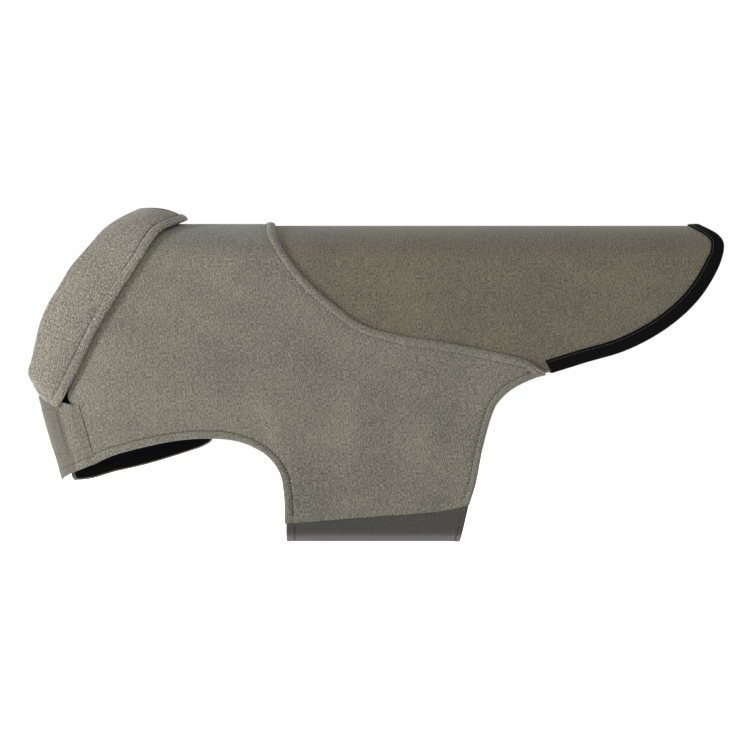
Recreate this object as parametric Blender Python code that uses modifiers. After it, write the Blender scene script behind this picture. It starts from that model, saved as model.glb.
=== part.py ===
"""A dog's softshell coat with a fold-down collar, as it sits on the dog.

+X runs from the head to the tail, +Z is up, and the dog's left side is at -Y.
The origin is on the lining at the withers, where the coat rests on the back.
All sizes are in metres.
"""
import math

import bmesh
import bpy
import numpy as np
from mathutils import Vector

# Body of the coat: outer face of the front part
BACK_TOP = 0.0034          # height of the spine line
HALF_WIDTH = 0.071         # half the width at the ribs
WIDEST_X = 0.06            # where the coat is widest
NARROW_FRONT = 0.47        # a smaller value narrows the chest and neck faster
NARROW_REAR = 0.78         # and this one the rump
BACK_DEPTH = 0.034         # height of the rounding over the spine
BACK_GIRTH = 0.053         # cloth per radian of that rounding
FRONT_X = -0.2005          # centre front line, at FRONT_Z
FRONT_Z = -0.166
FRONT_LEAN = 0.285         # how far it moves back per metre down
NOSE_ANGLE, NOSE_LENGTH = math.radians(50), 0.008
PROW_ANGLE, PROW_LENGTH = math.radians(40), 0.056

# Layers, as depths below the outer face of the front part
CLOTH = 0.001
LAYER_GAP = 0.0006
LINING = 0.0011
FACING = 0.0008
LINING_GAP = 0.0013
FRONT_LINING_DEPTH = CLOTH + LINING_GAP
FACING_DEPTH = FRONT_LINING_DEPTH + LINING + LAYER_GAP
TAPE_DEPTH = FACING_DEPTH + 0.0012
BINDING_CLOTH = 0.001
RUMP_DEPTH = CLOTH + 0.0008
BINDING_DEPTH = RUMP_DEPTH - LAYER_GAP - BINDING_CLOTH
RUMP_LINING_DEPTH = RUMP_DEPTH + CLOTH + LAYER_GAP
BINDING_INNER_DEPTH = RUMP_LINING_DEPTH + LINING + 0.0012

# Seams and hems
HEM_WIDTH = 0.009
BINDING_WIDTH = 0.013
BINDING_LIP = 0.0012       # how far the binding stands out past the cloth
LAP = 0.014                # rump panel under the edge of the front part
LINING_INSET = 0.0012
RIGHT_SAG = 0.016          # the right leg opening hangs lower than the left
SAG_END_X = -0.029

# Outlines of the left side, as (x, z), clockwise from the nape
NECK_SEAM = [(-0.075, BACK_TOP), (-0.084, -0.001), (-0.100, -0.012), (-0.122, -0.034),
             (-0.142, -0.063), (-0.160, -0.095), (-0.178, -0.128), (-0.192, -0.151)]
NECK_SEAM_END_Z = -0.163
YOKE_EDGE = [(0.035, BACK_TOP), (0.037, -0.010), (0.050, -0.032), (0.069, -0.055),
             (0.094, -0.077), (0.122, -0.097), (0.163, -0.109), (0.204, -0.115),
             (0.245, -0.123), (0.286, -0.133), (0.306, -0.148)]
FLANK_EDGE = [YOKE_EDGE[-1], (0.294, -0.1515), (0.274, -0.161), (0.260, -0.173),
              (0.252, -0.187), (0.243, -0.219), (0.236, -0.255), (0.229, -0.278)]
BELLY_FRONT = (0.045, -0.2965)
LEG_EDGE = [BELLY_FRONT, (0.044, -0.267), (0.039, -0.244), (0.022, -0.225),
            (-0.009, -0.213), (-0.058, -0.213), (-0.119, -0.226), (-0.150, -0.239)]
CHEST_BOTTOM_Z = -0.252
RUMP_EDGE = [YOKE_EDGE[-1], (0.343, -0.1365), (0.386, -0.1235), (0.426, -0.102),
             (0.457, -0.0745), (0.477, -0.0435), (0.484, -0.0195), (0.479, -0.007),
             (0.461, BACK_TOP)]

# Chest closing, measured round the front from the centre line, left negative
PLACKET_REAR = -0.038
PLACKET_FREE = 0.014
LEFT_FRONT_EDGE = 0.032
UNDERLAP_LEFT, UNDERLAP_RIGHT = -0.024, 0.016
RIGHT_FRONT_EDGE = UNDERLAP_RIGHT + 0.0008
PATCH_LEFT, PATCH_RIGHT = -0.022, 0.003
PATCH_TOP, PATCH_BOTTOM = -0.182, -0.226
FLAP_TOP_Z, FLAP_TOP_FALL = -0.1685, 0.5
CHEST_RISE = 0.33          # the leg opening rises this much per metre from the front
PATCH = 0.0007
HOOK_GAP = 0.0006          # between the two faces of a hook-and-loop closing
UNDERLAP_DEPTH = FRONT_LINING_DEPTH + 0.0002
LOOP_DEPTH = UNDERLAP_DEPTH - LAYER_GAP - PATCH
HOOK_LIFT = HOOK_GAP + PATCH - LOOP_DEPTH
FLAP_LINING_LIFT = HOOK_LIFT + LAYER_GAP + FACING
FLAP_LIFT = FLAP_LINING_LIFT + LAYER_GAP + CLOTH

# Collar: roll line and free edge of the fall, as (x, z) from nape to throat
ROLL_LINE = [(-0.102, 0.019), (-0.120, 0.010), (-0.136, -0.001), (-0.152, -0.019),
             (-0.169, -0.039), (-0.181, -0.059), (-0.192, -0.077), (-0.200, -0.096),
             (-0.205, -0.116), (-0.209, -0.133), (-0.2125, -0.147), (-0.205, -0.161)]
FALL_EDGE = [(-0.0525, BACK_TOP), (-0.063, -0.0005), (-0.080, -0.009), (-0.097, -0.031),
             (-0.124, -0.073), (-0.144, -0.108), (-0.161, -0.145), (-0.179, -0.180)]
ROLL_HALF_WIDTH = 0.042
ROLL_OPENING = 0.0018      # half the gap between the collar's ends at the throat
FALL_LIFT = 0.0056         # outer face of the fall's free edge above the body
FALL_SWELL = 0.004
STAND_DEPTH = 0.0036       # outer face of the stand below the outer face of the fall
STAND_GAP = 0.0018         # between its lower edge and the neck seam
TAPE_WIDTH = 0.012
STAY, STAY_LIFT = 0.0008, 0.0005
WING_START = math.radians(76)   # from here to the throat the fall turns up
WING_GAP = 0.0008
TURN_OUT = 0.0145          # turning axis in front of the line between the wing's ends

# Belly band
STRIP_BOTTOM_Z = -0.3145
STRIP_FRONT_X = 0.0465
STRIP_REAR_X, STRIP_REAR_LEAN = 0.2285, 0.23
STRIP_HINGE_Z = -0.3035
TAB_TOP_Z = -0.250
LOOP_TOP_Z, LOOP_BOTTOM_Z = -0.253, -0.276
STRIP = 0.0012
SEAM_GAP = 0.0006
FOLD_SWELL = 0.0013        # cloth at the left fold, outside the line between its ends
BELLY_LOOP_LIFT = LAYER_GAP + PATCH
BELLY_HOOK_LIFT = BELLY_LOOP_LIFT + HOOK_GAP + PATCH
TAB_LIFT = BELLY_HOOK_LIFT + LAYER_GAP + STRIP

# Steps of the grids
FINE = 40
NECK_STEPS, YOKE_STEPS = 30, 30
CHEST_STEPS, LEG_STEPS, BELLY_STEPS, FLANK_STEPS = 3, 20, 4, 7
LEG_CROWDING = 1.2
CURVE_STEPS = 80
BULGE_FADE = 4             # how soon the curve of a side border dies out inwards
BACK_ROWS = [0.009 * k for k in range(11)]   # cloth below the spine

COAT = bpy.data.collections.new("dog_coat")


# ---------------------------------------------------------------- surface
def girth_of(z):
    """Cloth from the spine down to the height z."""
    down = max(BACK_TOP - z, 0.0)
    if down < BACK_DEPTH:
        return BACK_GIRTH * math.acos(1 - down / BACK_DEPTH)
    return BACK_GIRTH * math.pi / 2 + down - BACK_DEPTH


def height_of(girth):
    angle = abs(girth) / BACK_GIRTH
    if angle < math.pi / 2:
        return BACK_TOP - BACK_DEPTH * (1 - math.cos(angle))
    return BACK_TOP - BACK_DEPTH - (abs(girth) - BACK_GIRTH * math.pi / 2)


def front_profile():
    """The rounding of the chest: cloth from the centre front, depth and half width."""
    cloth = np.linspace(0, 0.9, 4501)
    angle = NOSE_ANGLE * np.exp(-cloth / NOSE_LENGTH) + PROW_ANGLE * np.exp(-cloth / PROW_LENGTH)
    step = cloth[1]
    depth = np.concatenate([[0], np.cumsum(np.cos(angle[1:] / 2 + angle[:-1] / 2)) * step])
    width = np.concatenate([[0], np.cumsum(np.sin(angle[1:] / 2 + angle[:-1] / 2)) * step])
    return cloth, depth, width / width[-1]


CLOTH_FROM_FRONT, DEPTH_FROM_FRONT, WIDTH_SHARE = front_profile()


def front_line_x(z):
    return FRONT_X - FRONT_LEAN * (z - FRONT_Z)


def half_width(x):
    narrowing = NARROW_FRONT if x < WIDEST_X else NARROW_REAR
    return HALF_WIDTH * (1 - ((x - WIDEST_X) / narrowing) ** 2)


def unrolled(x, z):
    """(cloth behind the centre front, cloth below the spine) of a place in side view."""
    behind = max(x - front_line_x(z), 0.0)
    return float(np.interp(behind, DEPTH_FROM_FRONT, CLOTH_FROM_FRONT)), girth_of(z)


def on_coat(s, t):
    """Point of the outer face. A negative s or t is on the dog's left."""
    z = height_of(t)
    x = front_line_x(z) + float(np.interp(abs(s), CLOTH_FROM_FRONT, DEPTH_FROM_FRONT))
    share = float(np.interp(abs(s), CLOTH_FROM_FRONT, WIDTH_SHARE))
    over = math.sin(min(abs(t) / BACK_GIRTH, math.pi / 2))
    side = math.copysign(1, s) * math.copysign(1, t)
    return Vector((x, side * half_width(x) * share * over, z))


def core_of(point):
    return Vector((min(max(point.x, -0.12), 0.42), 0, min(max(point.z, -0.25), -0.05)))


def raised(surface, u, v, lift, step=1e-4):
    """Point at a height above a surface, measured along its outward normal."""
    point = surface(u, v)
    along_u = surface(u + step, v) - surface(u - step, v)
    along_v = surface(u, v + step) - surface(u, v - step)
    normal = along_u.cross(along_v).normalized()
    if normal.dot(point - core_of(point)) < 0:
        normal.negate()
    return point + normal * lift


# ---------------------------------------------------------------- outlines
def smooth(points, count):
    """Catmull-Rom curve through the points, at even distances."""
    given = [np.array(p, float) for p in points]
    ends = [2 * given[0] - given[1]] + given + [2 * given[-1] - given[-2]]
    fine = []
    for a, b, c, d in zip(ends, ends[1:], ends[2:], ends[3:]):
        for k in range(24):
            f = k / 24
            fine.append(0.5 * (2 * b + (c - a) * f + (2 * a - 5 * b + 4 * c - d) * f ** 2
                               + (3 * b - a - 3 * c + d) * f ** 3))
    fine.append(given[-1])
    return evenly(np.array(fine), count)


def evenly(line, count):
    run = np.concatenate([[0], np.cumsum(np.linalg.norm(np.diff(line, axis=0), axis=1))])
    at = np.linspace(0, run[-1], count + 1)
    return np.stack([np.interp(at, run, line[:, k]) for k in range(line.shape[1])], axis=1)


def to_cloth(line):
    return np.array([unrolled(x, z) for x, z in line])


def front_point(s, z):
    """A place a given cloth distance behind the centre front, in side view."""
    return front_line_x(z) + float(np.interp(s, CLOTH_FROM_FRONT, DEPTH_FROM_FRONT)), z


def leg_edge(side, start, count, crowding=1.0):
    """Leg opening from the chest to the belly, starting a cloth distance from the front.

    Crowding puts its points closer together near the chest.
    """
    points = smooth([front_point(start, CHEST_BOTTOM_Z + CHEST_RISE * start)] + LEG_EDGE[::-1], 200)
    points = points[[round(200 * (k / count) ** crowding) for k in range(count + 1)]]
    if side > 0:
        front = front_line_x(CHEST_BOTTOM_Z)
        for p in points:
            share = min(max((p[0] - front) / (SAG_END_X - front), 0), 1)
            p[1] -= RIGHT_SAG * math.sin(math.pi * share) ** 0.8 if 0 < share < 1 else 0
    return points


def parallel(line, distance):
    """The line moved to its left by a distance."""
    along = np.gradient(line, axis=0)
    along /= np.linalg.norm(along, axis=1)[:, None]
    return line + distance * np.stack([-along[:, 1], along[:, 0]], axis=1)


def ended_at(line, point):
    """The line up to its nearest point to the given one, then that one."""
    nearest = int(np.argmin(np.linalg.norm(line - point, axis=1)))
    return np.vstack([line[:nearest], [point]])


def cut_at(line, other):
    """The line up to where it first meets the other one."""
    for i in range(len(line) - 1):
        a, b = line[i], line[i + 1] - line[i]
        for c, d in zip(other, np.diff(other, axis=0)):
            cross = b[0] * d[1] - b[1] * d[0]
            if abs(cross) < 1e-12:
                continue
            f = ((c - a)[0] * d[1] - (c - a)[1] * d[0]) / cross
            g = ((c - a)[0] * b[1] - (c - a)[1] * b[0]) / cross
            if 0 <= f <= 1 and 0 <= g <= 1:
                return np.vstack([line[: i + 1], a + f * b])
    return line


def patch(top, bottom, left, right, down):
    """Grid between four border lines. Its upper rows lie at set distances from the spine."""
    columns = []
    for i, (a, b) in enumerate(zip(top, bottom)):
        u = i / (len(top) - 1)
        column = []
        for j in range(FINE + 1):
            v = j / FINE
            bulge_left = at_share(left, v) - (1 - v) * top[0] - v * bottom[0]
            bulge_right = at_share(right, v) - (1 - v) * top[-1] - v * bottom[-1]
            column.append((1 - v) * a + v * b + (1 - u) ** BULGE_FADE * bulge_left
                          + u ** BULGE_FADE * bulge_right)
        columns.append(rows_of(np.array(column), down))
    return [[column[j] for column in columns] for j in range(len(columns[0]))]


def rows_of(column, down):
    """The column at the set distances over the back, and evenly below them."""
    shorter = min(1, column[-1, 1] / (BACK_ROWS[-1] + 0.01))
    over_back = [(np.interp(t * shorter, column[:, 1], column[:, 0]), t * shorter)
                 for t in BACK_ROWS]
    below = column[column[:, 1] > BACK_ROWS[-1] * shorter + 1e-5]
    return over_back + list(evenly(np.vstack([over_back[-1:], below]), down))[1:]


def at_share(line, share):
    run = np.concatenate([[0], np.cumsum(np.linalg.norm(np.diff(line, axis=0), axis=1))])
    return np.array([np.interp(share * run[-1], run, line[:, k]) for k in (0, 1)])


# ---------------------------------------------------------------- nodes
def material(name, colour, roughness, metallic=0.0):
    made = bpy.data.materials.new(name)
    made.use_nodes = True
    shader = made.node_tree.nodes["Principled BSDF"]
    shader.inputs["Base Color"].default_value = (*colour, 1)
    shader.inputs["Roughness"].default_value = roughness
    shader.inputs["Metallic"].default_value = metallic
    return made


def node(name, points, faces, colour, pivot=None, thickness=None):
    """An object, with its origin on the pivot's axis if it has one."""
    origin = pivot.location if pivot else Vector()
    mesh = bpy.data.meshes.new(name)
    mesh.from_pydata([p - origin for p in points], [], faces)
    mesh.materials.append(material(name, *colour))
    made = bpy.data.objects.new(name, mesh)
    COAT.objects.link(made)
    if pivot:
        made.parent = pivot
    if thickness:
        shell = made.modifiers.new("Thickness", "SOLIDIFY")
        shell.thickness = thickness
        shell.offset = -1
    return made


def grid_faces(rows, columns):
    return [(j * columns + i, j * columns + i + 1, (j + 1) * columns + i + 1, (j + 1) * columns + i)
            for j in range(rows - 1) for i in range(columns - 1)]


def outward(points, faces):
    """The faces, turned round if they point at the dog."""
    turn = 0
    for face in faces:
        a, b, c = (points[k] for k in face[:3])
        turn += (b - a).cross(c - b).dot(a - core_of(a))
    return faces if turn > 0 else [face[::-1] for face in faces]


def cloth(name, rows, colour, thickness, pivot=None):
    """A layer of cloth from rows of points on its outer face."""
    points = [p for row in rows for p in row]
    faces = outward(points, grid_faces(len(rows), len(rows[0])))
    return node(name, points, faces, colour, pivot, thickness)


def both_sides(left_grid, right_grid, depth):
    """Rows from the left hem over the spine to the right hem."""
    rows = [[raised(on_coat, s, -t, -depth) for s, t in row] for row in reversed(left_grid[1:])]
    rows += [[raised(on_coat, s, t, -depth) for s, t in row] for row in right_grid]
    return rows


def pivot_at(name, point):
    made = bpy.data.objects.new(name, None)
    made.location = point
    COAT.objects.link(made)
    return made


OUTER = ((0.19, 0.17, 0.13), 0.9)
RUMP = ((0.14, 0.125, 0.09), 0.9)
COLLAR = ((0.29, 0.26, 0.22), 0.9)
FLEECE = ((0.012, 0.012, 0.014), 0.95)
BLACK = ((0.006, 0.006, 0.006), 0.7)
DARK = ((0.07, 0.065, 0.05), 0.85)
HOOK = ((0.05, 0.045, 0.035), 0.6)


# ---------------------------------------------------------------- front part
def front_borders(side, start, inset, rear):
    """Border lines of half the front part, from a cloth distance behind the centre front."""
    seam = NECK_SEAM + [front_point(start, NECK_SEAM_END_Z - 0.25 * start)]
    neck = smooth(seam, NECK_STEPS)
    leg = leg_edge(side, start, LEG_STEPS, LEG_CROWDING)
    belly = evenly(np.array([leg[-1], FLANK_EDGE[-1]]), BELLY_STEPS)
    flank = evenly(ended_at(smooth(FLANK_EDGE[::-1], CURVE_STEPS), rear[-1]), FLANK_STEPS)
    left, right = to_cloth(neck), to_cloth(rear)
    chest = evenly(np.array([left[-1], to_cloth(leg)[0]]), CHEST_STEPS)
    if inset:
        chest = parallel(chest, -inset)
        leg, belly, flank = (parallel(line, inset) for line in (leg, belly, flank))
    bottom = np.vstack([chest, to_cloth(leg)[1:], to_cloth(belly)[1:], to_cloth(flank)[1:]])
    left = np.vstack([left[:-1], bottom[:1]])
    right = np.vstack([right[:-1], bottom[-1:]])
    top = evenly(np.array([left[0], right[0]]), len(bottom) - 1)
    return top, bottom, left, right


def yoke_line():
    return smooth(YOKE_EDGE, YOKE_STEPS)


def lapped_line(distance):
    """A line inside the yoke's edge, down to the flank edge."""
    line = parallel(yoke_line(), -distance)
    line[0] = (YOKE_EDGE[0][0] - distance, BACK_TOP)
    return cut_at(line, smooth(FLANK_EDGE, CURVE_STEPS))


def front_shell():
    left = patch(*front_borders(-1, LEFT_FRONT_EDGE, 0, yoke_line()), 3)
    right = patch(*front_borders(1, RIGHT_FRONT_EDGE, 0, yoke_line()), 3)
    cloth("front_shell", both_sides(left, right, 0), OUTER, CLOTH)


def front_lining():
    rear = lapped_line(LAP + 0.002)
    left = patch(*front_borders(-1, LEFT_FRONT_EDGE + 0.002, LINING_INSET, rear), 3)
    right = patch(*front_borders(1, RIGHT_FRONT_EDGE, LINING_INSET, rear), 3)
    cloth("front_lining", both_sides(left, right, FRONT_LINING_DEPTH), FLEECE, LINING)


def strip_along(name, side, line, near, far, depth, thickness, colour, across=1):
    """A narrow strip beside a hem line, between two distances from it."""
    rows = []
    for j in range(across + 1):
        inner = parallel(line, near + (far - near) * j / across)
        rows.append([raised(on_coat, s, side * t, -depth) for s, t in to_cloth(inner)])
    return cloth(name, rows, colour, thickness)


def hem_facings():
    for side, name in ((-1, "left"), (1, "right")):
        start = (LEFT_FRONT_EDGE if side < 0 else RIGHT_FRONT_EDGE) + 0.016
        leg = leg_edge(side, start, 22)
        strip_along(f"leg_facing_{name}", side, leg, 0.0015, HEM_WIDTH,
                    FACING_DEPTH, FACING, DARK)
        flank = smooth(FLANK_EDGE[::-1], CURVE_STEPS)
        flank = evenly(ended_at(flank, lapped_line(LAP + 0.012)[-1]), 10)
        strip_along(f"flank_facing_{name}", side, flank, 0.0015, HEM_WIDTH,
                    FACING_DEPTH, FACING, DARK)


# ---------------------------------------------------------------- rump part
def hem_line(inset):
    """Rump hem from the corner to the spine, unrolled, an even distance inside the edge."""
    line = evenly(to_cloth(smooth(RUMP_EDGE, 400)), 80)
    moved = parallel(line, -inset) if inset else line
    moved[-1] = (line[-1][0] - inset, 0)
    return moved


def rump_grid(inset, lap, count, down):
    left = to_cloth(lapped_line(lap))
    hem = hem_line(inset)
    tail = int(np.argmax(hem[:, 0]))
    bottom = evenly(np.vstack([left[-1:] - (0, inset), hem[4: tail + 1]]), count)
    left = np.vstack([left[:-1], bottom[:1]])
    right = hem[tail:][::-1]
    top = evenly(np.array([left[0], right[0]]), count)
    return patch(top, bottom, left, right, down)


def rump_panel():
    grid = rump_grid(BINDING_LIP + 0.0008, LAP, 14, 1)
    cloth("rump_shell", both_sides(grid, grid, RUMP_DEPTH), RUMP, CLOTH)
    grid = rump_grid(BINDING_LIP + 0.0012, LAP - 0.001, 14, 1)
    cloth("rump_lining", both_sides(grid, grid, RUMP_LINING_DEPTH), FLEECE, LINING)


def rump_binding():
    """Binding folded round the hem: a U swept from the left corner over the back."""
    half = evenly(hem_line(0)[4:], 26)
    left = [(s, -t) for s, t in half]
    right = [(s, t) for s, t in half][::-1]
    line = np.array(left + right[1:])
    side = parallel(line, 1.0) - line
    inner_top, inner_bottom = BINDING_DEPTH + BINDING_CLOTH, BINDING_INNER_DEPTH
    deepest = BINDING_INNER_DEPTH + BINDING_CLOTH
    across = [BINDING_LIP + (BINDING_WIDTH - BINDING_LIP) * k / 3 for k in range(4)]
    profile = [(0, BINDING_DEPTH)] + [(inwards, BINDING_DEPTH) for inwards in across]
    profile += [(inwards, inner_top) for inwards in across[::-1]]
    profile += [(inwards, inner_bottom) for inwards in across]
    profile += [(inwards, deepest) for inwards in across[::-1]] + [(0, deepest)]
    points, faces = [], []
    for (s, t), (ds, dt) in zip(line, side):
        points += [raised(on_coat, s + ds * inwards, t + dt * inwards, -depth)
                   for inwards, depth in profile]
    sides = len(profile)
    for i in range(len(line) - 1):
        for k in range(sides):
            n = (k + 1) % sides
            faces.append((i * sides + k, i * sides + n, (i + 1) * sides + n, (i + 1) * sides + k))
    faces.append(tuple(range(sides))[::-1])
    faces.append(tuple(range(len(points) - sides, len(points))))
    made = node("rump_binding", points, faces, BLACK)
    face_out(made)


def face_out(made):
    mesh = bmesh.new()
    mesh.from_mesh(made.data)
    bmesh.ops.recalc_face_normals(mesh, faces=mesh.faces)
    mesh.to_mesh(made.data)
    mesh.free()


def corner_pieces():
    """A stay and a bar tack where the front part, the binding and the flank meet."""
    corner = np.array(YOKE_EDGE[-1])
    for side, name in ((-1, "left"), (1, "right")):
        stay = [[corner + (-0.013, 0.0100), corner + (-0.002, 0.0045)],
                [corner + (-0.010, -0.0010), corner + (-0.0015, 0.0003)]]
        rows = [[raised(on_coat, s, side * t, STAY_LIFT + STAY) for s, t in to_cloth(row)]
                for row in stay]
        cloth(f"corner_stay_{name}", rows, RUMP, STAY)
        s, t = unrolled(corner[0] - 0.0065, corner[1] + 0.004)
        centre = raised(on_coat, s, side * t, STAY_LIFT + 1.5 * STAY + 0.0005)
        bpy.ops.mesh.primitive_cube_add(size=1, location=centre, rotation=(0, 0.5, 0))
        tack = bpy.context.object
        tack.name = f"bar_tack_{name}"
        tack.scale = (0.0075, STAY, 0.0016)
        tack.data.materials.append(material(tack.name, *DARK))
        move_to_coat(tack)


def move_to_coat(made):
    for collection in list(made.users_collection):
        collection.objects.unlink(made)
    COAT.objects.link(made)


# ---------------------------------------------------------------- chest closing
def round_front(left, right, top, bottom, lift, columns, rows):
    """Rows across the centre front; top and bottom give the height at each place."""
    grid = []
    for j in range(rows + 1):
        row = []
        for i in range(columns + 1):
            s = left + (right - left) * i / columns
            z = top(s) + (bottom(s) - top(s)) * j / rows
            row.append(raised(on_coat, s, girth_of(z), lift))
        grid.append(row)
    return grid


def chest_bottom(s):
    return CHEST_BOTTOM_Z + CHEST_RISE * abs(s)


def flap_top(s):
    return FLAP_TOP_Z - FLAP_TOP_FALL * abs(s)


def chest_closing():
    underlap = round_front(UNDERLAP_LEFT, UNDERLAP_RIGHT, lambda s: NECK_SEAM_END_Z,
                           chest_bottom, -UNDERLAP_DEPTH, 14, 4)
    cloth("chest_underlap", underlap, OUTER, CLOTH)
    box = (PATCH_LEFT, PATCH_RIGHT, lambda s: PATCH_TOP, lambda s: PATCH_BOTTOM)
    cloth("chest_loop_patch", round_front(*box, -LOOP_DEPTH, 9, 2), DARK, PATCH)

    rear = [raised(on_coat, PLACKET_REAR, girth_of(z), FLAP_LIFT)
            for z in (flap_top(PLACKET_REAR), chest_bottom(PLACKET_REAR))]
    pivot = pivot_at("chest_flap_axis", rear[0])
    cloth("chest_hook_patch", round_front(*box, HOOK_LIFT, 9, 2), HOOK, PATCH, pivot)
    cloth("chest_flap_lining",
          round_front(PLACKET_REAR + 0.001, PLACKET_FREE - 0.001, lambda s: flap_top(s) - 0.001,
                      lambda s: chest_bottom(s) + 0.001, FLAP_LINING_LIFT, 16, 4),
          FLEECE, FACING, pivot)
    cloth("chest_flap", round_front(PLACKET_REAR, PLACKET_FREE, flap_top, chest_bottom,
                                    FLAP_LIFT, 16, 4), OUTER, CLOTH, pivot)


# ---------------------------------------------------------------- collar
def ring_share(angle):
    return (1 - math.cos(angle)) / 2


def on_roll(angle):
    """Point of the roll line. The angle runs from the nape to the throat, left negative."""
    share = ring_share(angle)
    x, z = at_share(ROLL_CURVE, share)
    y = ROLL_HALF_WIDTH * math.sin(abs(angle)) + ROLL_OPENING * share
    return Vector((x, math.copysign(y, angle), z))


def on_fall_edge(angle):
    s, t = unrolled(*at_share(FALL_CURVE, ring_share(angle)))
    return raised(on_coat, s, math.copysign(t, angle), FALL_LIFT)


def on_neck_seam(angle, depth):
    s, t = unrolled(*at_share(SEAM_CURVE, ring_share(angle)))
    return raised(on_coat, s, math.copysign(t, angle), -depth)


def flat_fall(angle, w):
    return on_roll(angle).lerp(on_fall_edge(angle), w)


def on_fall(angle, w, depth=0.0):
    swell = FALL_SWELL * math.sin(math.pi * min(max(w, 0), 1))
    return raised(flat_fall, angle, w, swell - depth)


def fall_layer(depth):
    """The fall's surface at a depth below its outer face."""
    def surface(angle, w):
        return on_fall(angle, w, depth)
    return surface


def on_stand(angle, w):
    top = on_fall(angle, 0.03, STAND_DEPTH)
    seam = on_neck_seam(angle, 0.0004)
    return top.lerp(seam + (top - seam).normalized() * STAND_GAP, w)


def ring_rows(surface, start, end, columns, low, high, rows):
    return [[surface(start + (end - start) * i / columns, low + (high - low) * j / rows)
             for i in range(columns + 1)] for j in range(rows + 1)]


def collar():
    whole = math.pi - 0.02
    stand = ring_rows(on_stand, -whole, whole, 40, 0, 1, 4)
    cloth("collar_stand", stand, COLLAR, CLOTH)
    turn_gap = WING_GAP / ROLL_HALF_WIDTH
    layers = (("fall", 0.0, CLOTH, COLLAR), ("under", CLOTH + LAYER_GAP, LINING, OUTER))
    for layer, depth, thickness, colour in layers:
        surface = fall_layer(depth)
        back = ring_rows(surface, -WING_START + turn_gap, WING_START - turn_gap, 16, 0, 1, 5)
        cloth(f"collar_back_{layer}", back, colour, thickness)
    for side, name in ((-1, "left"), (1, "right")):
        first, last = on_roll(side * WING_START), on_roll(side * whole)
        along = (last - first).normalized()
        forward = (first - on_fall_edge(side * WING_START))
        forward = (forward - along * forward.dot(along)).normalized()
        pivot = pivot_at(f"collar_wing_{name}_axis", first + forward * TURN_OUT)
        for layer, depth, thickness, colour in layers:
            surface = fall_layer(depth)
            wing = ring_rows(surface, side * WING_START, side * whole, 14, 0, 1, 5)
            cloth(f"collar_wing_{name}_{layer}", wing, colour, thickness, pivot)


def neck_tape():
    line = smooth(NECK_SEAM + [front_point(LEFT_FRONT_EDGE + 0.006, NECK_SEAM_END_Z - 0.01)], 24)
    left = [(s, -t) for s, t in to_cloth(line)][::-1]
    right = [(s, t) for s, t in to_cloth(line)][1:]
    ring = np.array(left + right)
    rows = [[raised(on_coat, s, t, -TAPE_DEPTH) for s, t in parallel(ring, -offset)]
            for offset in np.linspace(0.0015, TAPE_WIDTH, 4)]
    cloth("neck_tape", rows, DARK, FACING)


# ---------------------------------------------------------------- belly band
def belly_half(x):
    return on_coat(unrolled(x, STRIP_HINGE_Z)[0], girth_of(STRIP_HINGE_Z)).y


def fold_half(x):
    """Half width at the left fold of the strip, which is straight."""
    front, rear = belly_half(STRIP_FRONT_X), belly_half(STRIP_REAR_X)
    share = (x - STRIP_FRONT_X) / (STRIP_REAR_X - STRIP_FRONT_X)
    return front + (rear - front) * share + FOLD_SWELL


def strip_ends(z):
    return STRIP_FRONT_X, STRIP_REAR_X + STRIP_REAR_LEAN * (z - BELLY_FRONT[1] - 0.0185)


def across_belly(z, u):
    front, rear = strip_ends(z)
    return front + (rear - front) * u


def belly_floor(u, turn, lift=0.0):
    """Point under the belly; the turn runs from the left fold to the right one."""
    drop = STRIP_HINGE_Z - STRIP_BOTTOM_Z
    z = STRIP_HINGE_Z - (drop + lift) * math.sin(turn) ** 0.8
    x = across_belly(z, u)
    across = (1 - math.cos(turn)) / 2
    left, right = -fold_half(x) - lift, belly_half(x) + TAB_LIFT + lift
    return Vector((x, left + (right - left) * across, z))


def belly_side(u, z, lift):
    x = across_belly(z, u)
    return Vector((x, belly_half(x) + lift, z))


def belly_seam(u):
    """Height of the strip's upper edge, just below the front part."""
    front, rear = BELLY_FRONT[1], FLANK_EDGE[-1][1]
    return front + (rear - front) * u - SEAM_GAP


def belly_band():
    across = 8
    steps = [k / across for k in range(across + 1)]
    left = []
    for j in range(2):
        row = []
        for u in steps:
            z = belly_seam(u) + (STRIP_HINGE_Z + SEAM_GAP / 2 - belly_seam(u)) * j
            x = across_belly(z, u)
            row.append(Vector((x, -fold_half(x), z)))
        left.append(row)
    cloth("belly_strip_left", left, DARK, STRIP)

    loop = [[belly_side(u, z, BELLY_LOOP_LIFT) for u in steps]
            for z in (LOOP_BOTTOM_Z, LOOP_TOP_Z)]
    cloth("belly_loop_strip", loop, DARK, PATCH)

    ends = [Vector((x, -fold_half(x), STRIP_HINGE_Z)) for x in strip_ends(STRIP_HINGE_Z)]
    pivot = pivot_at("belly_band_axis", ends[0])
    turns = [0.03 + (math.pi - 0.03) * k / 12 for k in range(13)]
    band = [[belly_floor(u, turn) for u in steps] for turn in turns]
    band += [[belly_side(u, STRIP_HINGE_Z + (TAB_TOP_Z - STRIP_HINGE_Z) * k / 3, TAB_LIFT)
              for u in steps] for k in (1, 2, 3)]
    cloth("belly_band", band, DARK, STRIP, pivot)
    hook = [[belly_side(u, z, BELLY_HOOK_LIFT) for u in steps]
            for z in (LOOP_BOTTOM_Z, LOOP_TOP_Z)]
    cloth("belly_hook_strip", hook, HOOK, PATCH, pivot)
    inner = [[belly_floor(0.03 + 0.94 * u, math.pi * (0.16 + 0.68 * k / 8), -STRIP - LINING_GAP)
              for u in steps] for k in range(9)]
    cloth("belly_lining", inner, FLEECE, LINING, pivot)


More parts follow.
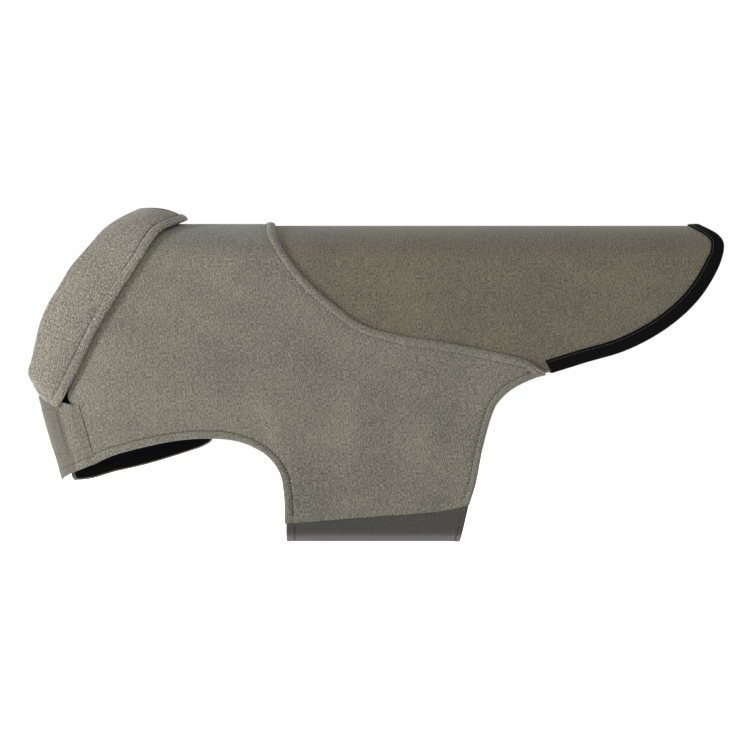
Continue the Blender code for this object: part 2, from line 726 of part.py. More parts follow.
def main():
    for old in list(bpy.data.objects):
        bpy.data.objects.remove(old, do_unlink=True)
    bpy.context.scene.collection.children.link(COAT)
    front_shell()
    front_lining()
    hem_facings()
    rump_panel()
    rump_binding()
    corner_pieces()
    chest_closing()
    collar()
    neck_tape()
    belly_band()


ROLL_CURVE = smooth(ROLL_LINE, CURVE_STEPS)
FALL_CURVE = smooth(FALL_EDGE, CURVE_STEPS)
SEAM_CURVE = smooth(NECK_SEAM + [front_point(ROLL_OPENING, NECK_SEAM_END_Z)], CURVE_STEPS)
main()
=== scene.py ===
import math

import bpy
import numpy as np
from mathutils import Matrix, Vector
from mathutils.geometry import delaunay_2d_cdt


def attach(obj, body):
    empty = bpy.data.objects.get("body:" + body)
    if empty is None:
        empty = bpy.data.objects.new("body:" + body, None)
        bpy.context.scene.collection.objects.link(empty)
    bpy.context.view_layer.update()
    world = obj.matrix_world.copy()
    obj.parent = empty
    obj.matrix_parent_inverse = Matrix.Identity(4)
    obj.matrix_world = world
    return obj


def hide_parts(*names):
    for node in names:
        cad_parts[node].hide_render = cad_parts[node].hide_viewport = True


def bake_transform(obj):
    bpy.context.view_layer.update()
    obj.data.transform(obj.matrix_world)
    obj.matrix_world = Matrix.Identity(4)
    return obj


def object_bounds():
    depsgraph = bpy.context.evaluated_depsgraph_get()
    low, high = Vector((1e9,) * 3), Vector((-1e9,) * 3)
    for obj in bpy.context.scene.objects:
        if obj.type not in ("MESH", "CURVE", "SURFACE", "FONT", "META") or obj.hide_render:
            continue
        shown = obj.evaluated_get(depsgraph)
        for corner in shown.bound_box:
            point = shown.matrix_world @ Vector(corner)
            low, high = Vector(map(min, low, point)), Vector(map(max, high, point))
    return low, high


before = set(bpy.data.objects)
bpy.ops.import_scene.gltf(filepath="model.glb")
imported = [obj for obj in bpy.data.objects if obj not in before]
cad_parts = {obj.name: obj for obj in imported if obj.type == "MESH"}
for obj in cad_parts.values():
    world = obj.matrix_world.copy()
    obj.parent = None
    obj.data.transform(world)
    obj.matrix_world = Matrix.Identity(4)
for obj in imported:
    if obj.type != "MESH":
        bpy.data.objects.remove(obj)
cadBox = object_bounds()
for loaded in bpy.context.selected_objects:
    loaded.select_set(False)

# The coat's body as a sheet wrapped round the dog: s is cloth behind the
# centre front, t is cloth below the spine, and a negative one is on the left.
bodyShape = dict(
    backTop=0.0034, halfWidth=0.071, widestX=0.06, narrowFront=0.47, narrowRear=0.78,
    backDepth=0.034, backGirth=0.053,              # rounding over the spine
    frontX=-0.2005, frontZ=-0.166, frontLean=0.285,
    noseAngle=math.radians(50), noseLength=0.008,
    prowAngle=math.radians(40), prowLength=0.056)

# Soft folds: from, to (x, z), half width, height
leftFolds = [((0.004, -0.165), (0.046, -0.246), 0.011, -0.0013),
             ((0.020, -0.160), (0.062, -0.262), 0.012, 0.0012),
             ((0.088, -0.120), (0.094, -0.285), 0.014, -0.0010),
             ((0.118, -0.150), (0.112, -0.292), 0.012, 0.0011),
             ((0.160, -0.155), (0.150, -0.285), 0.015, -0.0012),
             ((0.196, -0.165), (0.190, -0.280), 0.013, 0.0010),
             ((-0.070, -0.060), (-0.040, -0.180), 0.022, -0.0008),
             ((-0.130, -0.110), (-0.118, -0.215), 0.018, 0.0009),
             ((0.250, -0.030), (0.270, -0.115), 0.026, -0.0009),
             ((0.350, -0.020), (0.380, -0.100), 0.024, 0.0008)]
rightFolds = [((0.012, -0.170), (0.052, -0.262), 0.012, -0.0012),
              ((0.075, -0.130), (0.086, -0.285), 0.013, 0.0010),
              ((0.135, -0.140), (0.140, -0.240), 0.015, -0.0010),
              ((0.188, -0.160), (0.186, -0.240), 0.013, 0.0009),
              ((-0.090, -0.070), (-0.060, -0.190), 0.020, -0.0009),
              ((-0.135, -0.120), (-0.125, -0.215), 0.016, 0.0008),
              ((0.220, -0.030), (0.240, -0.110), 0.024, 0.0008),
              ((0.330, -0.020), (0.360, -0.105), 0.026, -0.0009)]


def frontRounding():
    cloth = np.linspace(0, 0.9, 4501)
    angle = (bodyShape["noseAngle"] * np.exp(-cloth / bodyShape["noseLength"])
             + bodyShape["prowAngle"] * np.exp(-cloth / bodyShape["prowLength"]))
    middle = (angle[1:] + angle[:-1]) / 2
    depth = np.concatenate([[0], np.cumsum(np.cos(middle)) * cloth[1]])
    width = np.concatenate([[0], np.cumsum(np.sin(middle)) * cloth[1]])
    return cloth, depth, width / width[-1]


clothRun, depthRun, widthRun = frontRounding()


def girthOf(z):
    down = np.maximum(bodyShape["backTop"] - z, 0.0)
    over = np.arccos(1 - np.minimum(down / bodyShape["backDepth"], 1))
    return np.where(down < bodyShape["backDepth"], bodyShape["backGirth"] * over,
                    bodyShape["backGirth"] * math.pi / 2 + down - bodyShape["backDepth"])


def heightOf(t):
    angle = np.abs(t) / bodyShape["backGirth"]
    over = bodyShape["backDepth"] * (1 - np.cos(np.minimum(angle, math.pi / 2)))
    below = np.maximum(np.abs(t) - bodyShape["backGirth"] * math.pi / 2, 0)
    return bodyShape["backTop"] - over - below


def frontLineX(z):
    return bodyShape["frontX"] - bodyShape["frontLean"] * (z - bodyShape["frontZ"])


def halfWidth(x):
    narrowing = np.where(x < bodyShape["widestX"], bodyShape["narrowFront"],
                         bodyShape["narrowRear"])
    return bodyShape["halfWidth"] * (1 - ((x - bodyShape["widestX"]) / narrowing) ** 2)


def plainCoat(s, t):
    z = heightOf(t)
    x = frontLineX(z) + np.interp(np.abs(s), clothRun, depthRun)
    share = np.interp(np.abs(s), clothRun, widthRun)
    over = np.sin(np.minimum(np.abs(t) / bodyShape["backGirth"], math.pi / 2))
    side = np.where(s < 0, -1, 1) * np.where(t < 0, -1, 1)
    return np.stack([x, side * halfWidth(x) * share * over, z], axis=-1)


def normalsOf(surface, u, v, step=1e-4):
    alongU = surface(u + step, v) - surface(u - step, v)
    alongV = surface(u, v + step) - surface(u, v - step)
    normal = np.cross(alongU, alongV)
    return normal / np.linalg.norm(normal, axis=-1, keepdims=True)


def foldHeight(x, z, left):
    height = np.zeros_like(x)
    for folds, chosen in ((leftFolds, left), (rightFolds, ~left)):
        for (x0, z0), (x1, z1), width, rise in folds:
            dx, dz = x1 - x0, z1 - z0
            along = np.clip(((x - x0) * dx + (z - z0) * dz) / (dx * dx + dz * dz), -0.4, 1.4)
            away = np.hypot(x - x0 - dx * along, z - z0 - dz * along)
            fade = np.clip(1 - np.abs(along - 0.5) / 0.9, 0, 1)
            height += chosen * rise * np.exp(-(away / width) ** 2) * fade
    # slow unevenness of hung cloth
    height += 0.0005 * np.sin(x * 71 + z * 39) * np.sin(z * 53 - x * 17 + np.where(left, 0, 1.3))
    return height


def onCoat(s, t):
    point = plainCoat(s, t)
    calm = np.clip((np.abs(t) - 0.045) / 0.05, 0, 1)      # the back stays smooth
    left = point[..., 1] < 0
    rise = foldHeight(point[..., 0], point[..., 2], left) * calm
    return point + normalsOf(plainCoat, s, t) * rise[..., None]


def raised(s, t, lift):
    s, t = np.asarray(s, float), np.asarray(t, float)
    return onCoat(s, t) + normalsOf(onCoat, s, t) * np.broadcast_to(lift, s.shape)[..., None]


# Lines on the flat cloth
def evenly(line, spacing=None, count=None):
    run = np.concatenate([[0], np.cumsum(np.linalg.norm(np.diff(line, axis=0), axis=1))])
    count = count or max(int(round(run[-1] / spacing)), 2)
    at = np.linspace(0, run[-1], count + 1)
    return np.stack([np.interp(at, run, line[:, k]) for k in range(line.shape[1])], axis=1)


def smoothLine(points, count=240):
    given = [np.array(p, float) for p in points]
    ends = [2 * given[0] - given[1]] + given + [2 * given[-1] - given[-2]]
    fine = []
    for a, b, c, d in zip(ends, ends[1:], ends[2:], ends[3:]):
        for f in np.arange(24) / 24:
            fine.append(0.5 * (2 * b + (c - a) * f + (2 * a - 5 * b + 4 * c - d) * f ** 2
                               + (3 * b - a - 3 * c + d) * f ** 3))
    return evenly(np.array(fine + [given[-1]]), count=count)


def toCloth(line):
    line = np.asarray(line, float)
    behind = np.maximum(line[:, 0] - frontLineX(line[:, 1]), 0)
    return np.stack([np.interp(behind, depthRun, clothRun), girthOf(line[:, 1])], axis=1)


def frontPoint(s, z):
    return frontLineX(z) + float(np.interp(s, clothRun, depthRun)), z


def parallelLine(line, distance):
    along = np.gradient(line, axis=0)
    along /= np.linalg.norm(along, axis=1)[:, None]
    return line + distance * np.stack([-along[:, 1], along[:, 0]], axis=1)


def nearestOn(points, line):
    start, step = line[:-1], np.diff(line, axis=0)
    length = np.linalg.norm(step, axis=1)
    run = np.concatenate([[0], np.cumsum(length)])[:-1]
    best, arc = np.full(len(points), 9.0), np.zeros(len(points))
    for low in range(0, len(points), 2000):
        part = points[low:low + 2000]
        offset = part[:, None] - start[None]
        share = np.clip((offset * step).sum(2) / np.maximum(length ** 2, 1e-12), 0, 1)
        away = np.linalg.norm(offset - share[..., None] * step, axis=2)
        found = away.argmin(1)
        rows = np.arange(len(part))
        best[low:low + 2000] = away[rows, found]
        arc[low:low + 2000] = run[found] + share[rows, found] * length[found]
    return best, arc


def insideOf(points, outline):
    x, y = points[:, 0], points[:, 1]
    odd = np.zeros(len(points), bool)
    for (x0, y0), (x1, y1) in zip(outline, np.roll(outline, -1, axis=0)):
        if y0 != y1:
            odd ^= ((y0 > y) != (y1 > y)) & (x < (x1 - x0) * (y - y0) / (y1 - y0) + x0)
    return odd


def smoothStep(value, low, high):
    share = np.clip((value - low) / (high - low), 0, 1)
    return share * share * (3 - 2 * share)


def roundedEdge(distance, radius):
    inwards = np.clip(distance / radius, 0, 1)
    return 0.14 + 0.86 * np.sqrt(1 - (1 - inwards) ** 2)


# Meshes
def makeObject(name, points, faces, materials, slots=None, uv=None):
    mesh = bpy.data.meshes.new(name)
    mesh.from_pydata([tuple(p) for p in points], [], faces)
    for material in materials:
        mesh.materials.append(material)
    if slots is not None:
        mesh.polygons.foreach_set("material_index", np.asarray(slots, np.int32))
    if uv is not None:
        layer = mesh.uv_layers.new(name="cloth")
        corner = np.zeros(len(mesh.loops), np.int32)
        mesh.loops.foreach_get("vertex_index", corner)
        layer.data.foreach_set("uv", np.asarray(uv, np.float32)[corner].ravel())
    mesh.polygons.foreach_set("use_smooth", np.ones(len(mesh.polygons), bool))
    mesh.update()
    made = bpy.data.objects.new(name, mesh)
    bpy.context.collection.objects.link(made)
    return made


def closedSheet(name, outer, inner, faces, uv, materials, innerSlot=None, outerSlot=None):
    faces = np.asarray(faces)
    count = len(outer)
    edges = np.concatenate([np.stack([faces[:, k], faces[:, (k + 1) % faces.shape[1]]], axis=1)
                            for k in range(faces.shape[1])])
    keys = edges.min(1) * count + edges.max(1)
    _, first, uses = np.unique(keys, return_index=True, return_counts=True)
    border = edges[first[uses == 1]]
    rim = [(b, a, count + a, count + b) for a, b in border.tolist()]
    back = (faces[:, ::-1] + count).tolist()
    plain = [0] * len(faces)
    slots = list(plain if outerSlot is None else outerSlot)
    slots += list(plain if innerSlot is None else innerSlot)
    return makeObject(name, np.vstack([outer, inner]), faces.tolist() + back + rim, materials,
                      slots + [0] * len(rim), np.vstack([uv, uv]))


def gridFaces(rows, columns):
    start = (np.arange(rows - 1)[:, None] * columns + np.arange(columns - 1)).ravel()
    return np.stack([start, start + 1, start + columns + 1, start + columns], axis=1)


def gridNormals(points):
    normal = np.cross(np.gradient(points, axis=1), np.gradient(points, axis=0))
    return normal / np.maximum(np.linalg.norm(normal, axis=2, keepdims=True), 1e-12)


def gridSheet(name, middle, normal, outerLift, innerLift, uv, materials, innerSlot=None,
              outerSlot=None):
    rows, columns = middle.shape[:2]
    faces = gridFaces(rows, columns)
    flat = middle.reshape(-1, 3)
    a, b, c = (flat[faces[:, k]] for k in (0, 1, 2))
    turned = (np.cross(b - a, c - b) * normal.reshape(-1, 3)[faces[:, 0]]).sum()
    outer = (middle + normal * outerLift[..., None]).reshape(-1, 3)
    inner = (middle + normal * innerLift[..., None]).reshape(-1, 3)
    if turned < 0:
        faces = faces[:, ::-1]
    slots = None if innerSlot is None else innerSlot.ravel()[faces[:, 0]]
    front = None if outerSlot is None else outerSlot.ravel()[faces[:, 0]]
    return closedSheet(name, outer, inner, faces, uv.reshape(-1, 2), materials, slots, front)


def panelPoints(outline, spacing, rings):
    closed = np.vstack([outline, outline[:1]])
    turn = np.sum(outline[:, 0] * np.roll(outline[:, 1], -1)
                  - outline[:, 1] * np.roll(outline[:, 0], -1))
    found = []
    for distance in rings:
        ring = parallelLine(np.vstack([outline[-1:], closed, outline[1:2]]),
                            distance if turn > 0 else -distance)[1:-2]
        ring = ring[insideOf(ring, outline)]
        found.append(ring[nearestOn(ring, closed)[0] > distance * 0.93])
    low, high = outline.min(0), outline.max(0)
    lattice = []
    for row, y in enumerate(np.arange(low[1], high[1], spacing * math.sqrt(0.75))):
        x = np.arange(low[0] + spacing / 2 * (row % 2), high[0], spacing)
        lattice.append(np.stack([x, np.full(len(x), y)], axis=1))
    lattice = np.vstack(lattice)
    lattice = lattice[insideOf(lattice, outline)]
    found.append(lattice[nearestOn(lattice, closed)[0] > rings[-1] + spacing * 0.6])
    return np.vstack([outline] + found)


def panelMesh(outline, spacing=0.0042,
              rings=(0.0003, 0.0008, 0.0015, 0.0025, 0.004, 0.0058, 0.0072, 0.0082, 0.0093,
                     0.0108, 0.0128)):
    points = panelPoints(outline, spacing, rings)
    made = delaunay_2d_cdt([Vector(p) for p in points], [],
                           [list(range(len(outline)))], 1, 1e-7)
    corners = np.array([tuple(p) for p in made[0]])
    faces = np.array(made[2])
    a, b, c = (corners[faces[:, k]] for k in (0, 1, 2))
    area = (b - a)[:, 0] * (c - a)[:, 1] - (b - a)[:, 1] * (c - a)[:, 0]
    faces = faces[np.abs(area) > 1e-11]
    area = area[np.abs(area) > 1e-11]
    faces[area < 0] = faces[area < 0][:, ::-1]
    return corners, faces


# Materials
def linearColour(code):
    value = [int(code[k:k + 2], 16) / 255 for k in (0, 2, 4)]
    return tuple(v / 12.92 if v <= 0.04045 else ((v + 0.055) / 1.055) ** 2.4
                 for v in value) + (1.0,)


def newMaterial(name):
    material = bpy.data.materials.new(name)
    material.use_nodes = True
    return material, material.node_tree, material.node_tree.nodes["Principled BSDF"]


def addNode(tree, kind, inputs=(), **settings):
    node = tree.nodes.new(kind)
    for key, value in settings.items():
        setattr(node, key, value)
    for key, value in dict(inputs).items():
        if isinstance(value, bpy.types.NodeSocket):
            tree.links.new(value, node.inputs[key])
        else:
            node.inputs[key].default_value = value
    return node


def rampOf(tree, factor, stops):
    ramp = addNode(tree, "ShaderNodeValToRGB", {"Fac": factor})
    steps = ramp.color_ramp.elements
    while len(steps) < len(stops):
        steps.new(0.5)
    for step, (position, code) in zip(steps, stops):
        step.position = position
        step.color = linearColour(code)
    return ramp.outputs["Color"]


melange = dict(
    fleckWidth=0.0010, fleckLength=0.0024,   # real yarns are 0.4 mm, drawn coarser to show
    slubLength=0.016, slubWidth=0.0010,
    bump=0.45, sheen=0.12)


def wovenCloth(name, dark, mid, light, contrast=1.0, roughness=0.88, twill=0.0):
    material, tree, shader = newMaterial(name)
    place = addNode(tree, "ShaderNodeUVMap", uv_map="cloth").outputs["UV"]
    fine = addNode(tree, "ShaderNodeMapping", {
        "Vector": place,
        "Scale": (1 / melange["fleckWidth"], 1 / melange["fleckLength"], 1)})
    fleck = addNode(tree, "ShaderNodeTexNoise", {
        "Vector": fine.outputs["Vector"], "Scale": 1.0, "Detail": 2.0, "Roughness": 0.7},
        noise_dimensions="2D").outputs["Fac"]
    long = addNode(tree, "ShaderNodeMapping", {
        "Vector": place,
        "Scale": (1 / melange["slubWidth"], 1 / melange["slubLength"], 1)})
    slub = addNode(tree, "ShaderNodeTexNoise", {
        "Vector": long.outputs["Vector"], "Scale": 1.0, "Detail": 1.0, "Roughness": 0.5},
        noise_dimensions="2D").outputs["Fac"]
    slow = addNode(tree, "ShaderNodeTexNoise", {
        "Vector": place, "Scale": 14.0, "Detail": 1.0}, noise_dimensions="2D").outputs["Fac"]
    both = addNode(tree, "ShaderNodeMath", {0: fleck, 1: 0.72}, operation="MULTIPLY")
    both = addNode(tree, "ShaderNodeMath", {0: slub, 1: 0.20, 2: both.outputs[0]},
                   operation="MULTIPLY_ADD")
    both = addNode(tree, "ShaderNodeMath", {0: slow, 1: 0.08, 2: both.outputs[0]},
                   operation="MULTIPLY_ADD")
    spread = 0.085 / contrast
    colour = rampOf(tree, both.outputs[0], [(0.5 - spread, dark), (0.5, mid),
                                            (0.5 + spread, light)])
    tree.links.new(colour, shader.inputs["Base Color"])
    height = fleck
    if twill:
        line = addNode(tree, "ShaderNodeTexWave", {
            "Vector": place, "Scale": 1 / twill / 6.28 * 3.14, "Distortion": 0.4,
            "Detail": 1.0}, wave_type="BANDS", bands_direction="DIAGONAL")
        height = addNode(tree, "ShaderNodeMath", {
            0: line.outputs["Fac"], 1: 0.5, 2: fleck}, operation="MULTIPLY_ADD").outputs[0]
    bump = addNode(tree, "ShaderNodeBump", {
        "Strength": melange["bump"], "Distance": 0.0004, "Height": height})
    tree.links.new(bump.outputs["Normal"], shader.inputs["Normal"])
    shader.inputs["Roughness"].default_value = roughness
    shader.inputs["Sheen Weight"].default_value = melange["sheen"]
    shader.inputs["Sheen Roughness"].default_value = 0.6
    shader.inputs["Specular IOR Level"].default_value = 0.25
    return material


def fleeceCloth(name, dark, light, pile=0.0022):
    material, tree, shader = newMaterial(name)
    place = addNode(tree, "ShaderNodeUVMap", uv_map="cloth").outputs["UV"]
    tuft = addNode(tree, "ShaderNodeTexNoise", {
        "Vector": place, "Scale": 1 / pile, "Detail": 3.0, "Roughness": 0.65},
        noise_dimensions="2D").outputs["Fac"]
    tree.links.new(rampOf(tree, tuft, [(0.3, dark), (0.75, light)]), shader.inputs["Base Color"])
    bump = addNode(tree, "ShaderNodeBump", {
        "Strength": 0.5, "Distance": 0.0006, "Height": tuft})
    tree.links.new(bump.outputs["Normal"], shader.inputs["Normal"])
    shader.inputs["Roughness"].default_value = 0.95
    shader.inputs["Specular IOR Level"].default_value = 0.1
    return material


def ribbedTape(name, dark, light, rib=0.0016):
    material, tree, shader = newMaterial(name)
    place = addNode(tree, "ShaderNodeUVMap", uv_map="cloth").outputs["UV"]
    line = addNode(tree, "ShaderNodeTexWave", {
        "Vector": place, "Scale": 1 / rib / 2, "Distortion": 0.6, "Detail": 1.0,
        "Detail Scale": 2.0}, wave_type="BANDS", bands_direction="X").outputs["Fac"]
    # rib crests painted a touch lighter: a painted highlight, on top of the bump
    tree.links.new(rampOf(tree, line, [(0.2, dark), (0.9, light)]), shader.inputs["Base Color"])
    bump = addNode(tree, "ShaderNodeBump", {
        "Strength": 0.5, "Distance": 0.0003, "Height": line})
    tree.links.new(bump.outputs["Normal"], shader.inputs["Normal"])
    shader.inputs["Roughness"].default_value = 0.85
    shader.inputs["Specular IOR Level"].default_value = 0.06
    return material


def threadFinish(name, dark, light):
    material, tree, shader = newMaterial(name)
    place = addNode(tree, "ShaderNodeTexCoord").outputs["Object"]
    twist = addNode(tree, "ShaderNodeTexNoise", {
        "Vector": place, "Scale": 900.0, "Detail": 1.0}).outputs["Fac"]
    tree.links.new(rampOf(tree, twist, [(0.35, dark), (0.7, light)]),
                   shader.inputs["Base Color"])
    shader.inputs["Roughness"].default_value = 0.6
    return material


# Polyester softshell, woven from mixed grey-brown yarns: matt with a faint bloom
shellCloth = wovenCloth("melangeSoftshell", "3a3830", "4f4c43", "636054")
# The collar is the same melange painted lighter: painted light where it faces the lamps
litCollarCloth = wovenCloth("melangeCollarPaintedLight", "403d36", "58544b", "766f64")
# The rump part is a finer twill of the same yarns, painted a shade darker: painted shade on the
# rear of the coat, away from the key light
shadedRumpCloth = wovenCloth("twillSoftshellPaintedShade", "332f26", "464135", "575343", twill=0.0022)
# The chest flap's band: the front part's melange painted darker, as painted shade
shadedFlapCloth = wovenCloth("flapBandPaintedShade", "36332c", "434038", "4e4a41", contrast=0.7)
stripCloth = wovenCloth("oliveTwill", "22201c", "2b2924", "31302a", contrast=0.7, twill=0.0022)
# Brushed polyester fleece: black, no shine at all
blackFleece = fleeceCloth("brushedFleece", "020203", "0d0d10")
loopPile = fleeceCloth("loopTape", "26251f", "45433a", pile=0.0012)
hookTape = fleeceCloth("hookTape", "191814", "3d3b33", pile=0.0009)
# Polyester grosgrain: black, cross ribs catch a little light, and their crests are painted
# lighter as a painted highlight
blackTape = ribbedTape("grosgrainBinding", "010101", "050505")
darkThread = threadFinish("coreSpunThread", "100f0d", "26241f")
paleThread = threadFinish("paleThread", "57534b", "837e75")
blackThread = threadFinish("blackThread", "060606", "1b1b1b")
print("materials made")


# Stitching: one short arched thread, repeated along a line
stitch = dict(length=0.0024, pitch=0.0033, thickness=0.00036, sides=5)


def stitchesOf(name, starts, ends, sideways, material, radius=None):
    radius = radius or stitch["thickness"]
    count, sides = len(starts), stitch["sides"]
    along = np.array([0, 0.12, 0.5, 0.88, 1])
    rise = np.array([-1.3, 0.25, 0.7, 0.25, -1.3]) * radius
    width = np.array([0.55, 1, 1, 1, 0.55]) * radius
    up = np.cross(sideways, ends - starts)
    up /= np.linalg.norm(up, axis=1, keepdims=True)
    turn = np.arange(sides) * 2 * math.pi / sides
    line = starts[:, None] + (ends - starts)[:, None] * along[None, :, None]
    line = line + up[:, None] * rise[None, :, None]
    ring = (sideways[:, None, None] * np.cos(turn)[None, None, :, None]
            + up[:, None, None] * np.sin(turn)[None, None, :, None])
    points = line[:, :, None] + ring * width[None, :, None, None]
    faces = []
    for n in range(count):
        base = n * 5 * sides
        for k in range(4):
            for j in range(sides):
                i = (j + 1) % sides
                low = base + k * sides
                faces.append((low + j, low + i, low + sides + i, low + sides + j))
        faces.append(tuple(base + j for j in range(sides))[::-1])
        faces.append(tuple(base + 4 * sides + j for j in range(sides)))
    return makeObject(name, points.reshape(-1, 3), faces, [material])


def spansOf(line, pitch, length):
    run = np.concatenate([[0], np.cumsum(np.linalg.norm(np.diff(line, axis=0), axis=1))])
    at = np.arange(pitch / 2, run[-1] - length, pitch)

    def along(distance):
        return np.stack([np.interp(distance, run, line[:, k])
                         for k in range(line.shape[1])], axis=1)
    return along(at), along(at + length)


def sidewaysOf(starts, ends, normal):
    sideways = np.cross(ends - starts, normal)
    return sideways / np.linalg.norm(sideways, axis=1, keepdims=True)


def coatStitches(name, line, lift, material=None, **changes):
    size = {**stitch, **changes}
    starts, ends = spansOf(line, size["pitch"], size["length"])
    first = raised(starts[:, 0], starts[:, 1], lift)
    last = raised(ends[:, 0], ends[:, 1], lift)
    normal = normalsOf(onCoat, (starts[:, 0] + ends[:, 0]) / 2, (starts[:, 1] + ends[:, 1]) / 2)
    sideways = sidewaysOf(first, last, normal)
    return stitchesOf(name, first, last, sideways, material or darkThread, size["thickness"])


# Front part: shoulders, chest and belly sides in one piece over the back
frontPart = dict(
    neckSeam=[(-0.075, 0.0034), (-0.084, -0.001), (-0.100, -0.012), (-0.122, -0.034),
              (-0.142, -0.063), (-0.160, -0.095), (-0.178, -0.128), (-0.192, -0.151)],
    neckEdge=[(-0.075, 0.0034), (-0.084, -0.001), (-0.100, -0.012), (-0.119, -0.034),
              (-0.136, -0.063), (-0.151, -0.095), (-0.161, -0.128), (-0.165, -0.145),
              (-0.173, -0.170)],
    neckEndZ=-0.163,
    yokeEdge=[(0.035, 0.0034), (0.037, -0.010), (0.050, -0.032), (0.069, -0.055),
              (0.094, -0.077), (0.122, -0.097), (0.163, -0.109), (0.204, -0.115),
              (0.245, -0.123), (0.286, -0.133), (0.306, -0.148)],
    flankEdge=[(0.306, -0.148), (0.294, -0.1515), (0.274, -0.161), (0.260, -0.173),
               (0.252, -0.187), (0.243, -0.219), (0.236, -0.255), (0.229, -0.278)],
    legEdge=[(0.045, -0.2965), (0.044, -0.267), (0.039, -0.244), (0.022, -0.225),
             (-0.009, -0.213), (-0.058, -0.213), (-0.119, -0.226), (-0.150, -0.239)],
    bellyEdge=[(0.045, -0.2965), (0.110, -0.2912), (0.195, -0.2845), (0.229, -0.278)],
    chestBottomZ=-0.252, chestRise=0.33,
    leftStart=0.0455, rightStart=0.0168,           # front edges, behind the centre front
    rightSag=0.018, sagEndX=-0.029,
    legHem=0.0078, flankHem=0.0066, yokeHem=0.0098,  # topstitching inside each edge
    thickness=0.0034, hemThickness=0.0041, lapThickness=0.0012, lap=0.0150)


def legLine(side, start):
    first = frontPoint(start, frontPart["chestBottomZ"] + frontPart["chestRise"] * start)
    line = smoothLine([first] + frontPart["legEdge"][::-1], 300)
    if side > 0:
        front = frontLineX(frontPart["chestBottomZ"])
        share = np.clip((line[:, 0] - front) / (frontPart["sagEndX"] - front), 0, 1)
        line[:, 1] -= frontPart["rightSag"] * np.sqrt(np.abs(np.sin(math.pi * share)))
    return line


def frontLines(side):
    start = frontPart["leftStart"] if side < 0 else frontPart["rightStart"]
    end = frontPoint(start, -0.1845 if side < 0 else frontPart["neckEndZ"] - 0.25 * start)
    edge = frontPart["neckEdge"] if side < 0 else frontPart["neckSeam"]
    neck = toCloth(smoothLine(edge + [end]))
    leg = toCloth(legLine(side, start))
    flank = toCloth(smoothLine(frontPart["flankEdge"][::-1]))
    yoke = toCloth(smoothLine(frontPart["yokeEdge"][::-1]))
    lines = dict(neck=neck, chest=np.array([neck[-1], leg[0]]), leg=leg,
                 belly=toCloth(smoothLine(frontPart["bellyEdge"], 60)), flank=flank, yoke=yoke)
    return {kind: line * (1, side) for kind, line in lines.items()}


halves = {side: frontLines(side) for side in (-1, 1)}


def distancesTo(points, kind):
    found = [nearestOn(points, halves[side][kind]) for side in (-1, 1)]
    nearer = found[0][0] < found[1][0]
    return (np.where(nearer, found[0][0], found[1][0]),
            np.where(nearer, found[0][1], found[1][1] + 0.0017))


def hemRise(distance, arc, hem, puff=0.0010, dimple=0.0008):
    pillow = puff * np.sin(math.pi * np.clip(distance / hem, 0, 1)) ** 0.7
    pulled = dimple * np.exp(-((distance - hem) / 0.0011) ** 2)
    pucker = 0.00013 * np.cos(arc * 2 * math.pi / 0.0066 + np.sin(arc * 90) * 1.5)
    pucker = pucker * np.exp(-((distance - hem) / 0.0035) ** 2)
    return np.where(distance < hem, pillow, 0) - pulled + pucker


def makeFrontPart():
    parts = []
    for side, order in ((1, 1), (-1, -1)):
        lines = [evenly(halves[side][kind], 0.0028)[:-1]
                 for kind in ("neck", "chest", "leg", "belly", "flank", "yoke")]
        lines.append(halves[side]["yoke"][-1:])
        parts.append(np.vstack(lines)[::order])
    # The two halves meet over the spine at the nape and at the yoke
    outline = np.vstack([parts[0], parts[1][1:]])
    if np.linalg.norm(outline[0] - outline[-1]) < 1e-6:      # closed without a repeated point
        outline = outline[:-1]
    points, faces = panelMesh(outline)
    away = {kind: distancesTo(points, kind) for kind in
            ("neck", "chest", "leg", "belly", "flank", "yoke")}
    lift = sum(hemRise(*away[kind], frontPart[kind + "Hem"]) for kind in ("leg", "flank"))
    lift = lift + hemRise(*away["yoke"], frontPart["yokeHem"], 0.0019, 0.0008)
    hemAway = np.minimum(away["leg"][0], away["flank"][0])
    depth = frontPart["thickness"] + (frontPart["hemThickness"] - frontPart["thickness"]) * (
        1 - smoothStep(hemAway, 0.0088, 0.0104))
    nearLap = 1 - smoothStep(away["yoke"][0], frontPart["lap"], frontPart["lap"] + 0.003)
    nearBelly = 1 - smoothStep(away["belly"][0], 0.008, 0.011)
    thin = np.maximum(nearLap, nearBelly)
    depth = depth + (frontPart["lapThickness"] - depth) * thin
    edge = np.min([away[kind][0] for kind in away], axis=0)
    rounding = roundedEdge(edge, 0.0017)
    joined = (points[:, 1] < 0) & (away["chest"][0] < 0.0018)
    rounding = np.where(joined, 1, rounding)
    top, bottom = lift, -depth
    middle = (top + bottom) / 2
    outer = raised(points[:, 0], points[:, 1], middle + (top - middle) * rounding)
    inner = raised(points[:, 0], points[:, 1], middle + (bottom - middle) * rounding)
    centre = edge[faces].mean(1)
    lined = ((centre > 0.0016) & (nearLap[faces].mean(1) < 0.5)).astype(int)
    made = closedSheet("frontPart", outer, inner, faces, points, [shellCloth, blackFleece], lined)
    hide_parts("front_shell", "front_lining", "leg_facing_left", "leg_facing_right",
                "flank_facing_left", "flank_facing_right")
    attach(made, "coat")
    print("front part", len(made.data.polygons))
    return made


def frontStitching():
    for side, name in ((-1, "Left"), (1, "Right")):
        for kind in ("leg", "flank", "yoke"):
            line = halves[side][kind]
            turn = -1 if side < 0 else 1
            hem = frontPart[kind + "Hem"]
            moved = parallelLine(line, hem * turn)
            if not insideOf(moved[len(moved) // 2][None], frontOutline())[0]:
                moved = parallelLine(line, -hem * turn)
            keep = nearestOn(moved, np.vstack([halves[side][k] for k in
                                               ("leg", "belly", "flank", "yoke")]))[0]
            moved = moved[(keep > hem * 0.97) & insideOf(moved, frontOutline())]
            made = coatStitches(f"{kind}Stitching{name}", moved, -0.0003)
            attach(made, "coat")


